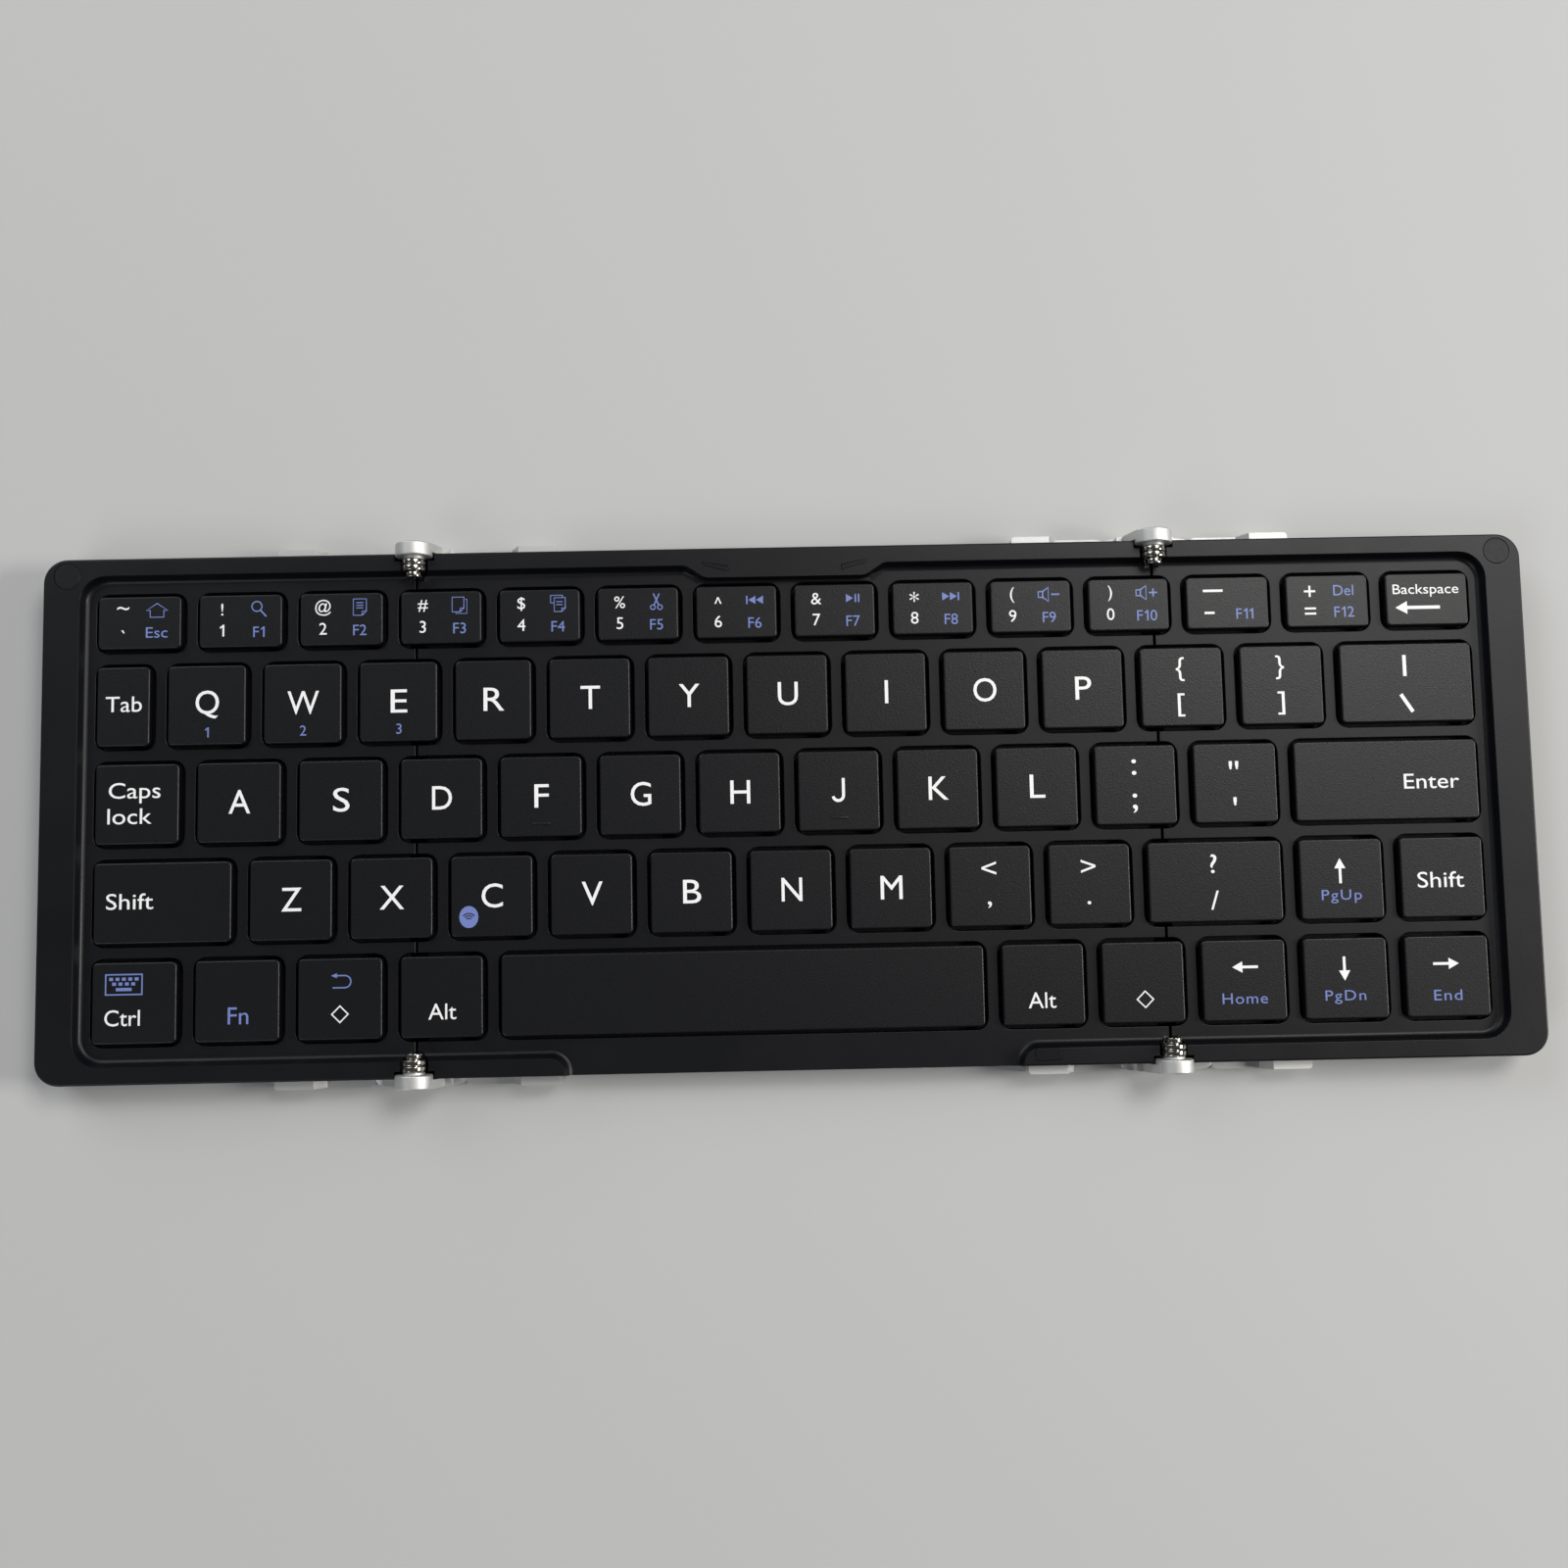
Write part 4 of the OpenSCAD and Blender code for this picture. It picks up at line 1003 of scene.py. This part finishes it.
def bored(piece, radius, y0, y1):
    """Bores a round hole along the fold's axis."""
    combine(piece, axle("bore", radius, y0, y1, 32))


def screwed_tab():
    """The tab that goes under a frame, with its screw hole."""
    tab = block("tab", wing_arm_from, tab_end, tab_y, arm_inner_y + overlap, bay_z, tab_top)
    round_edges(
        tab, tab_corner, 4,
        lambda a, b: upright(a, b) and same(a.x, tab_end) and same(a.y, tab_y),
    )
    x, y = tab_screw_from_fold, tab_screw_y
    return combine(tab, post("hole", screw_shank + glue_gap, x, y, bay_z - 1, tab_top + 1, 20))


def ring(name, radius, y0, y1, bevel=ring_bevel):
    """A turned ring round the fold's axis, its corners broken."""
    blank = axle(name, radius, y0, y1, 64)
    round_edges(
        blank, bevel, 3,
        lambda a, b: same(a.y, b.y) and hypot(a.x, a.z - fold_axis_z) > radius - 0.01,
    )
    return blank


def broken_edges(piece):
    """Takes the sharpness off every edge, as tumbling does to a casting."""
    take(piece)
    bevel = piece.modifiers.new("edges", "BEVEL")
    bevel.width = tumbled
    bevel.segments = 2
    bevel.limit_method = "ANGLE"
    bevel.angle_limit = radians(40)
    bpy.ops.object.modifier_apply(modifier=bevel.name)


# Zinc plated in satin nickel: a pale, slightly warm metal, blasted before plating, so it shows
# broad soft bands of light and a faint grain of about 0.4 mm.
satin_zinc = new_material("satin_nickel_on_zinc", "#d6d6d4", 0.55, {"Metallic": 1.0})
grained(satin_zinc, 2600.0, 3.0, roughness=(0.5, 0.6), relief=(0.1, 0.00002))

# Turned stainless steel, polished: it mirrors the lamps as small hard lights between dark
# bands, and turning rings about 0.1 mm apart run round it.
turned_steel = new_material("polished_stainless_steel", "#b9b6ae", 0.14, {"Metallic": 1.0})
grained(turned_steel, 1.0, 2.0, relief=(0.1, 0.00002), stretch=(200, 9000, 200))

# the centre panel's arm: bar, tab, and the upright plate whose tail runs up to the drum
casting = arm_bar("casting", tail_from)
slice_across(casting, 0, [tail_to])
pull(casting, top_within(arm_low_top, shoulder_from), (0, 0, tail_shoulder))
rises = [(0, 0, rise) for rise in tail_rises]
pull(casting, top_within(arm_low_top + tail_shoulder, tail_to), *rises)
z = arm_low_top + tail_shoulder + tail_rises[0]
for rise, draws_in in zip(tail_rises[1:], tail_draws_in):
    z += rise
    move_points(
        casting, (-draws_in, 0, 0),
        lambda co: same(co.x, tail_to) and same(co.z, z),
    )
combine(casting, screwed_tab(), "UNION")
broken_edges(casting)
drum = ring("drum", knuckle_radius, knuckle_inner_y + collar[1], arm_outer_y, drum_bevel)
combine(drum, axle("neck", collar[0], knuckle_inner_y, arm_outer_y - 1, 48), "UNION")
combine(casting, drum, "UNION")
bored(casting, pin_radius + pin_fit, knuckle_inner_y - 1, drum_floor_y)

# the wing's arm: bar with a block beside the drum, tab, lug and flange
wing_casting = arm_bar("wing_casting", wing_arm_from)
slice_across(wing_casting, 0, [wing_block_to])
pull(wing_casting, top_within(arm_low_top, wing_block_to), (0, 0, wing_block_rise))
combine(wing_casting, screwed_tab(), "UNION")
lug = block("lug", *lug_x, *flange_y, bay_z, tab_top)
pull(lug, facing_up, (0, 0, lug_rise))
move_points(lug, (-lug_draws_in, 0, 0), lambda co: co.x > lug_x[1] - 0.1 and co.z > tab_top + 1)
combine(wing_casting, lug, "UNION")
broken_edges(wing_casting)
combine(wing_casting, ring("flange", washer_radius, *flange_y), "UNION")
bored(wing_casting, pin_radius + pin_clearance, flange_y[0] - 0.1, flange_y[1] + 0.1)

pin = ring("pin", pin_head_radius, pin_head_y, pin_head_y + pin_head_depth)
combine(pin, axle("shank", pin_radius, pin_head_y + pin_head_depth / 2, pin_tip_y, 32), "UNION")
washer = ring("washer", washer_radius, *washer_y)
bored(washer, pin_radius + pin_clearance, washer_y[0] - 1, washer_y[1] + 1)

centre_arm = ("centre_panel", "cast_zinc", [satin_zinc], ["centre_hinge_arms"])
centre_pin = ("centre_panel", "hinge_steel", [turned_steel], ["hinge_pins"])
centre_washer = ("centre_panel", "hinge_steel", [turned_steel], ["hinge_washers"])
for side, wing in ((-1, "left"), (1, "right")):
    wing_arm = (panel_body[wing], "cast_zinc", [satin_zinc, turned_steel], [wing + "_hinge_arms"])
    for end, which in ((1, "rear"), (-1, "front")):
        for piece, name, outwards, fixing in (
                (casting, "drum_arm", -1, centre_arm),
                (wing_casting, "flange_arm", 1, wing_arm),
                (pin, "pin", 1, centre_pin), (washer, "washer", 1, centre_washer)):
            copy = another(piece, wing + "_" + which + "_" + name)
            copy.scale = (side * outwards, end, 1)
            copy.location = (side * fold_x, 0, 0)
            face_out(settle(copy))
            finish(copy, *fixing)
            if piece == wing_casting:
                # the flange is bright like the other rings
                for face in copy.data.polygons:
                    x, y, z = (part / MM for part in face.center)
                    from_axis = hypot(x - side * fold_x, z - fold_axis_z)
                    across = flange_y[0] - 0.01 < abs(y) < flange_y[1] + 0.01
                    if across and from_axis < washer_radius + 0.01:
                        face.material_index = 1
for master in (casting, wing_casting, pin, washer):
    bpy.data.objects.remove(master)

# ---------------- key caps
# Sixty-four flat caps in black ABS, moulded as thin shells with soft edges and clipped to their
# scissor links from above. Their legends are pad printed in white and in blue ink and cured.

cap_top = 6.8
cap_edge = 0.3
cap_corner = 0.8
cap_wall = 0.8
cap_top_thickness = 0.95
home_bar_size = (3.0, 0.35)
home_bar_rise = 0.16
home_bar_edge = 0.12
home_bar_y = -4.55  # from the middle of the cap
ink_thickness = 0.03
type_capital = 0.686  # height of a capital letter for each millimetre of type size
key_names = (
    "grave one two three four five six seven eight nine zero minus equals backspace "
    "tab q w e r t y u i o p left_bracket right_bracket backslash "
    "caps_lock a s d f g h j k l semicolon apostrophe enter "
    "left_shift z x c v b n m comma period slash arrow_up right_shift "
    "control function left_system left_alt space right_alt right_system "
    "arrow_left arrow_down arrow_right"
).split()
shared_nodes = {
    "left_number_keys": "grave one two",
    "left_upper_letter_keys": "q w e",
    "left_lower_letter_keys": "a s z x",
    "centre_number_keys": "three four five six seven eight nine zero",
    "centre_upper_letter_keys": "r t y u i o p",
    "centre_home_letter_keys": "d f g h j k l semicolon",
    "centre_lower_letter_keys": "c v b n m comma period",
    "right_symbol_keys": "minus equals left_bracket right_bracket apostrophe slash",
}

# Black ABS caps: a leathery etched grain of about 0.22 mm, rounder than the frame's, so the flat
# tops show a fine speckle and the softly rounded edges catch a thin line of light. The pits of
# the grain shade one another, so the specular level is under its usual half.
cap_plain = {"IOR": 1.53, "Specular IOR Level": 0.39}
cap_abs = new_material("leather_grained_black_abs", "#07080d", 0.39, cap_plain)
place = add(cap_abs, "ShaderNodeTexCoord", {}).outputs["Object"]
inputs = {"Vector": place, "Scale": 4500.0}
cells = add(cap_abs, "ShaderNodeTexVoronoi", inputs, feature="SMOOTH_F1")
ripple = add(cap_abs, "ShaderNodeTexNoise", {"Vector": place, "Scale": 5200.0, "Detail": 2.0})
leather = {0: cells.outputs["Distance"], 1: ripple.outputs["Fac"]}
height = add(cap_abs, "ShaderNodeMath", leather, operation="ADD").outputs["Value"]
bump = add(cap_abs, "ShaderNodeBump", {"Height": height, "Strength": 0.5, "Distance": 0.00003})
link(cap_abs, bump.outputs["Normal"], "Normal")

# Cured pad-printing ink: a thin opaque film with the faint mottle that the cap's grain leaves in
# it, about 0.26 mm, so the marks stay plain white and soft blue under the lamps.
white = new_material("white_ink", "#fafafa", 0.4, {"IOR": 1.5})
blue = new_material("blue_ink", "#7686c4", 0.4, {"IOR": 1.5})
for ink in (white, blue):
    grained(ink, 3800.0, 2.0, relief=(0.15, 0.00003))


def inked(mark, ink):
    """Closes a flat mark's seams and gives it its ink."""
    merge(mark, 0.0005)
    mark.data.materials.clear()
    mark.data.materials.append(ink)
    return mark


def word(letters, ink, capital_height, squeeze=1.0, spacing=1.0):
    """Printed letters lying flat, with capitals this high. A figure one is drawn with its flag."""
    if "1" in letters:
        marks = [
            drawn([(x * capital_height, y * capital_height) for x, y in figure_one], ink)
            if letter == "1" else word(letter, ink, capital_height) for letter in letters
        ]
        return side_by_side(marks, capital_height * figure_space)
    bpy.ops.object.select_all(action="DESELECT")
    bpy.ops.object.text_add()
    text = bpy.context.object
    text.data.body = letters
    text.data.size = capital_height / type_capital
    text.data.extrude = ink_thickness / 2
    text.data.resolution_u = 4
    text.data.space_character = spacing
    bpy.ops.object.convert(target="MESH")
    text = bpy.context.object
    text.scale = (squeeze, 1, 1)
    return inked(settle(text), ink)


def drawn(points, ink, width=0.0, ends_meet=False):
    """A printed line of some width through the points, or without one the shape inside them."""
    curve = bpy.data.curves.new("mark", "CURVE")
    curve.dimensions = "3D" if width else "2D"
    line = curve.splines.new("POLY")
    line.points.add(len(points) - 1)
    for point, (x, y) in zip(line.points, points):
        point.co = (x, y, 0, 1)
    line.use_cyclic_u = ends_meet or not width
    if width:
        curve.bevel_depth = width / 2
        curve.bevel_resolution = 0
        curve.use_fill_caps = True
    else:
        curve.fill_mode = "BOTH"
        curve.extrude = ink_thickness / 2
    mark = bpy.data.objects.new("mark", curve)
    bpy.context.scene.collection.objects.link(mark)
    take(mark)
    bpy.ops.object.convert(target="MESH")
    mark = bpy.context.object
    if width:
        mark.scale = (1, 1, ink_thickness / width)
    inked(settle(mark), ink)
    face_out(mark)
    return mark


def side_by_side(marks, space):
    """Marks set in a line as one, with a space between neighbours."""
    end = 0
    for mark in marks:
        mark.location = (end - mark.bound_box[0][0], 0, 0)
        settle(mark)
        end = mark.bound_box[6][0] + space
    return joined(marks, "mark")


def arc(x, y, radius, start=0, end=360, count=16, squash=1.0):
    """Points round part of a circle or an ellipse."""
    ends = end - start < 360  # all round, the last point would be the first again
    turns = [radians(start + (end - start) * step / count) for step in range(count + ends)]
    return [(x + radius * cos(turn), y + radius * squash * sin(turn)) for turn in turns]


def arrow(length, head, shaft, quarter):
    """An arrow that points right, or is turned left from there by quarter turns."""
    half = length / 2
    points = [
        (half, 0), (half - head, head * 0.55), (half - head, shaft / 2), (-half, shaft / 2),
        (-half, -shaft / 2), (half - head, -shaft / 2), (half - head, -head * 0.55),
    ]
    for _ in range(quarter):
        points = [(-y, x) for x, y in points]
    return [(points,)]


def box_round(x, y, across, up):
    """The corners of a box that reaches this far across and up from a point."""
    return [(x - across, y + up), (x + across, y + up), (x + across, y - up), (x - across, y - up)]


def page(x, y, size):
    """A sheet of paper with a folded corner."""
    w, h, fold = 1.1 * size, 1.4 * size, 0.7 * size
    corner = [(x + w, y - h + fold), (x + w - fold, y - h)]
    return [
        ([(x - w, y + h), (x + w, y + h), *corner, (x - w, y - h)], 0.17, True),
        ([corner[0], (x + w - fold, y - h + fold), corner[1]], 0.15),
    ]


def triangles(way, *places):
    """Solid triangles side by side, pointing left or right."""
    return [([(x - way * 0.6, 0.7), (x + way * 0.6, 0), (x - way * 0.6, -0.7)],) for x in places]


def bars(*places):
    """Upright bars."""
    return [(box_round(x, 0, 0.13, 0.7),) for x in places]


# the signs, each as its lines' points, the lines' width, and whether their ends meet
figure_one = [(0, 0), (0, 1), (-0.1, 1), (-0.36, 0.8), (-0.36, 0.66), (-0.15, 0.79), (-0.15, 0)]
figure_space = 0.18  # from a figure one to its neighbour, in heights of a capital
house = [(-1.8, 0), (0, 1.2), (1.8, 0), (1.15, 0), (1.15, -1.15), (-1.15, -1.15), (-1.15, 0)]
home_sign = [(house, 0.2, True)]
search_sign = [(arc(-0.35, 0.45, 0.85), 0.2, True), ([(0.25, -0.2), (1.25, -1.3)], 0.26)]
text_sign = page(0, 0, 1.0)
text_sign += [([(-0.6, level), (0.6, level)], 0.16) for level in (0.75, 0.3, -0.15)]
second_page = [(0.95, 1.0), (1.25, 1.0), (1.25, -1.4), (-0.6, -1.4), (-0.6, -1.15)]
copy_sign = page(-0.25, 0.15, 0.9) + [(second_page, 0.15)]
paste_sign = page(0.3, -0.2, 0.85) + [
    ([(-0.75, 0.1), (-1.25, 0.1), (-1.25, 1.4), (0.75, 1.4), (0.75, 1.0)], 0.17),
    ([(-0.3, 0.3), (0.8, 0.3)], 0.15), ([(-0.3, -0.2), (0.8, -0.2)], 0.15),
]
cut_sign = [
    (arc(-0.6, -0.95, 0.4), 0.18, True), (arc(0.6, -0.95, 0.4), 0.18, True),
    ([(-0.4, -0.6), (0.5, 1.4)], 0.22), ([(0.4, -0.6), (-0.5, 1.4)], 0.22),
]
softer_sign = [
    ([(-1.7, 0.5), (-0.95, 0.5), (0, 1.2), (0, -1.2), (-0.95, -0.5), (-1.7, -0.5)], 0.25, True),
    ([(-0.95, 0.5), (-0.95, -0.5)], 0.22), ([(0.5, 0), (1.9, 0)], 0.27),
]
louder_sign = softer_sign + [([(1.2, 0.7), (1.2, -0.7)], 0.27)]
keyboard_sign = [(box_round(0, 0, 3, 1.65), 0.32, True)]
keyboard_sign += [(box_round(-2.1 + 1.05 * step, 0.9, 0.32, 0.26),) for step in range(5)]
keyboard_sign += [(box_round(-1.6 + 1.05 * step, 0.1, 0.32, 0.26),) for step in range(4)]
keyboard_sign += [(box_round(0, -0.8, 1.3, 0.26),)]
return_sign = [
    ([(-1.4, -1.0)] + arc(0.6, 0, 1.0, -90, 90, 10) + [(-0.9, 1.0)], 0.22),
    ([(-1.7, 1.0), (-0.7, 1.4), (-0.7, 0.6)],),
]
diamond = [([(-1.35, 0), (0, 1.35), (1.35, 0), (0, -1.35)], 0.3, True)]
letter_height = 3.95
hook = [([(0.88, letter_height)] + arc(0, 1.05, 0.88, 0, -170, 12), 0.5)]  # of the letter J

# What is printed: the cap, what, its ink, its middle from the cap's middle, and for words their
# height, how they are widened, and how they are spaced.
small_height = 2.0
sign_height = 3.1
word_height = 2.6
function_height = 1.8
widened = {"b": 1.12, "e": 1.22, "f": 1.15, "l": 1.1, "p": 1.1, "r": 1.15, "s": 1.25, "w": 0.88,
           "a": 0.94, "d": 0.92, "g": 0.96, "o": 0.93, "q": 0.93, "z": 0.94, "n": 0.95}
printed = [
    (letter, letter.upper(), white, 0.1, 0.1, letter_height, widened.get(letter, 1.0))
    for letter in "qwertyuiopasdfghklzxcvbnm"
]
for number, (name, upper, sign) in enumerate([
        ("one", "!", search_sign), ("two", "@", text_sign), ("three", "#", copy_sign),
        ("four", "$", paste_sign), ("five", "%", cut_sign),
        ("six", "^", bars(-1.55) + triangles(-1, -0.7, 0.6)),
        ("seven", "&", triangles(1, -0.7) + bars(0.3, 0.85)),
        ("eight", "*", triangles(1, -0.8, 0.5) + bars(1.35)),
        ("nine", "(", softer_sign), ("zero", ")", louder_sign)], 1):
    printed += [
        (name, upper, white, -3.1, 2.0, small_height * (1.35 if upper == "*" else 1)),
        (name, str(number % 10), white, -3.1, -1.6, small_height),
        (name, sign, blue, 3.1, 2.0),
        (name, "F" + str(number), blue, 3.1, -1.9, function_height),
    ]
for name, upper, lower, size in (
        ("left_bracket", "{", "[", 3.0), ("right_bracket", "}", "]", 3.0),
        ("semicolon", ":", ";", sign_height * 1.25), ("apostrophe", '"', "'", sign_height * 1.2),
        ("comma", "<", ",", sign_height), ("period", ">", ".", sign_height),
        ("slash", "?", "/", sign_height)):
    for mark, along in ((upper, 3.0), (lower, -3.1)):
        printed.append((name, mark, white, -0.2, along, size, 1.15))
printed += [
    ("j", hook, white, -0.1, 0.1),
    ("grave", "~", white, -2.8, 2.5, small_height * 1.3),
    ("grave", "`", white, -2.8, -1.5, small_height * 1.2),
    ("grave", home_sign, blue, 2.9, 2.1),
    ("grave", "Esc", blue, 2.9, -1.7, function_height, 1.15),
    ("minus", [([(-1.68, 0), (1.68, 0)], 0.42)], white, -2.4, 2.1),
    ("minus", [([(-0.85, 0), (0.85, 0)], 0.4)], white, -3.1, -1.7),
    ("minus", "F11", blue, 2.9, -1.9, function_height),
    ("equals", "+", white, -2.9, 1.7, small_height * 1.4),
    ("equals", "=", white, -2.9, -1.7, small_height * 1.4),
    ("equals", "Del", blue, 2.85, 1.8, function_height),
    ("equals", "F12", blue, 2.85, -1.9, function_height),
    ("backspace", "Backspace", white, -0.1, 1.5, 1.65, 1.16),
    ("backspace", arrow(7.6, 2.0, 0.55, 2), white, -1.6, -1.4),
    ("tab", "Tab", white, 0.1, 0.4, word_height, 1.08),
    ("q", "1", blue, 0.1, -4.6, 1.7),
    ("w", "2", blue, 0.1, -4.6, 1.7),
    ("e", "3", blue, 0.1, -4.6, 1.7),
    ("backslash", [([(0, 1.8), (0, -1.8)], 0.6)], white, -0.2, 2.9),
    ("backslash", [([(-0.95, 1.5), (0.95, -1.5)], 0.62)], white, -0.1, -3.5),
    ("caps_lock", "Caps", white, -0.4, 1.9, word_height, 1.18),
    ("caps_lock", "lock", white, -1.2, -2.0, word_height, 1.18),
    ("enter", "Enter", white, 7.6, -0.3, 2.5, 1.2),
    ("left_shift", "Shift", white, -5.4, 0.3, word_height, 1.2),
    ("right_shift", "Shift", white, -0.3, -0.4, word_height, 1.2),
    ("control", keyboard_sign, blue, -1.7, 3.1),
    ("control", "Ctrl", white, -1.9, -2.4, word_height),
    ("function", "Fn", blue, 0.2, -2.4, 2.8),
    ("left_system", return_sign, blue, 0.2, 3.0),
    ("left_system", diamond, white, 0, -2.5),
    ("right_system", diamond, white, 0.2, -2.8),
    ("left_alt", "Alt", white, 0.1, -2.4, word_height),
    ("right_alt", "Alt", white, -0.3, -2.6, word_height),
    ("arrow_up", arrow(4.2, 1.7, 0.45, 1), white, -0.2, 1.4),
    ("arrow_up", "PgUp", blue, -0.1, -2.9, 1.7, 1.2, 1.15),
    ("arrow_left", arrow(4.3, 1.7, 0.45, 2), white, 0.2, 2.2),
    ("arrow_left", "Home", blue, 0, -3.0, 1.75, 1.15, 1.1),
    ("arrow_down", arrow(4.0, 1.7, 0.45, 3), white, -0.2, 1.6),
    ("arrow_down", "PgDn", blue, -0.2, -3.1, 1.7, 1.2, 1.15),
    ("arrow_right", arrow(4.3, 1.7, 0.45, 0), white, -0.2, 2.1),
    ("arrow_right", "End", blue, -0.1, -3.1, 1.75, 1.25, 1.1),
]


def radio_waves():
    """A plain disc with three arcs on it."""
    marks = [drawn(arc(0, 0, 1.6, squash=1.15), blue)]
    for radius in (0.45, 0.85, 1.25):
        wave = drawn(arc(0, -0.65, radius, 40, 140, 8), cap_abs, 0.18)
        wave.location = (0, 0, ink_thickness)
        marks.append(settle(wave))
    return marks


def placed(marks, across, along):
    """Marks as one legend on the top of a cap, with its middle there."""
    legend = joined(marks, "legend")
    low, high = legend.bound_box[0], legend.bound_box[6]
    legend.location = (across - (low[0] + high[0]) / 2, along - (low[1] + high[1]) / 2, cap_top)
    return settle(legend)


reach = (-blank_reach, blank_reach)
cap = block("cap", *reach, *reach, cap_bottom, cap_top)
round_edges(cap, cap_corner, 6, upright)
round_edges(cap, cap_edge, 4, level_at(cap_top))
choose(cap, "FACE", facing_down)
step_in((cap_wall, 0))
draw_out((0, 0, cap_top - cap_top_thickness - cap_bottom))
close()
cap.data.materials.append(cap_abs)

for (panel, x, y, width, depth), name in zip(key_places(), key_names):
    shared = [node for node, keys in shared_nodes.items() if name in keys.split()]
    node = shared[0] if shared else name + "_key"
    parts = [stretched(another(cap, name + "_cap"), width - 2 * cap_gap, depth - 2 * cap_gap)]
    for cap_name, mark, ink, across, along, *size in printed:
        if cap_name == name:
            if isinstance(mark, str):
                marks = [word(mark, ink, *size)]
            else:
                marks = [drawn(points, ink, *line) for points, *line in mark]
            parts.append(placed(marks, across, along))
    if name == "c":
        parts.append(placed(radio_waves(), -3.8, -3.4))
    if name in ("f", "j"):
        top = cap_top + home_bar_rise
        bar = pad("home_bar", (0, home_bar_y), home_bar_size, cap_top - 0.1, top)
        round_edges(bar, home_bar_edge, 3, lambda a, b: a.z > cap_top and b.z > cap_top)
        bar.data.materials.append(cap_abs)
        parts.append(bar)
    piece = joined(parts, name + "_cap")
    piece.location = (x, y, 0)
    finish(settle(piece), node + "_body", "key_black", [], [node])
bpy.data.objects.remove(cap)

# ---------------- table, lamps and camera
# The keyboard lies on a pale matt table under four soft lamps: a warm one on the right behind
# it, a low warm one on the right, and two cool ones that fill in from the left and the front.

bpy.ops.object.select_all(action="DESELECT")
bpy.ops.mesh.primitive_plane_add(size=3, location=(0, 0, 0))
table = bpy.context.object
table.name = "table"
table.data.materials.append(new_material("matt_white_table", "#c2c2c1", 0.7))

warm = (1.0, 0.985, 0.955)
cool = (0.93, 0.965, 1.0)
lamp_distance = 1.3
# for each lamp: its bearing and its lean from overhead in degrees, width in metres, and watts
for name, bearing, lean, size, power, tint in (
        ("key_lamp", 45, 34, 0.5, 7.3, warm), ("right_lamp", 358, 60, 0.35, 10.0, warm),
        ("left_lamp", 130, 58, 0.9, 6.4, cool), ("front_lamp", 225, 52, 0.6, 3.2, cool)):
    bpy.ops.object.light_add(type="AREA", rotation=(0, radians(lean), radians(bearing)))
    lamp = bpy.context.object
    lamp.name = name
    outwards = lamp_distance * sin(radians(lean))
    height = lamp_distance * cos(radians(lean))
    lamp.location = (outwards * cos(radians(bearing)), outwards * sin(radians(bearing)), height)
    lamp.data.shape = "SQUARE"
    lamp.data.size = size
    lamp.data.energy = power
    lamp.data.color = tint

# a faint even light from all round
surround = bpy.data.worlds.new("surround")
bpy.context.scene.world = surround
surround.use_nodes = True
background = surround.node_tree.nodes["Background"]
background.inputs["Color"].default_value = (1, 1, 1, 1)
background.inputs["Strength"].default_value = 0.07

# almost straight above, a little to the front; its place in metres and its turn in radians
bpy.ops.object.camera_add(
    location=(-0.00346, -0.02046, 0.2772), rotation=(0.0891, -0.0078, -0.0203)
)
camera = bpy.context.object
camera.data.lens = 37.125
camera.data.sensor_width = 36
camera.data.clip_start = 0.01
bpy.context.scene.camera = camera
bpy.context.scene.view_settings.view_transform = "Standard"
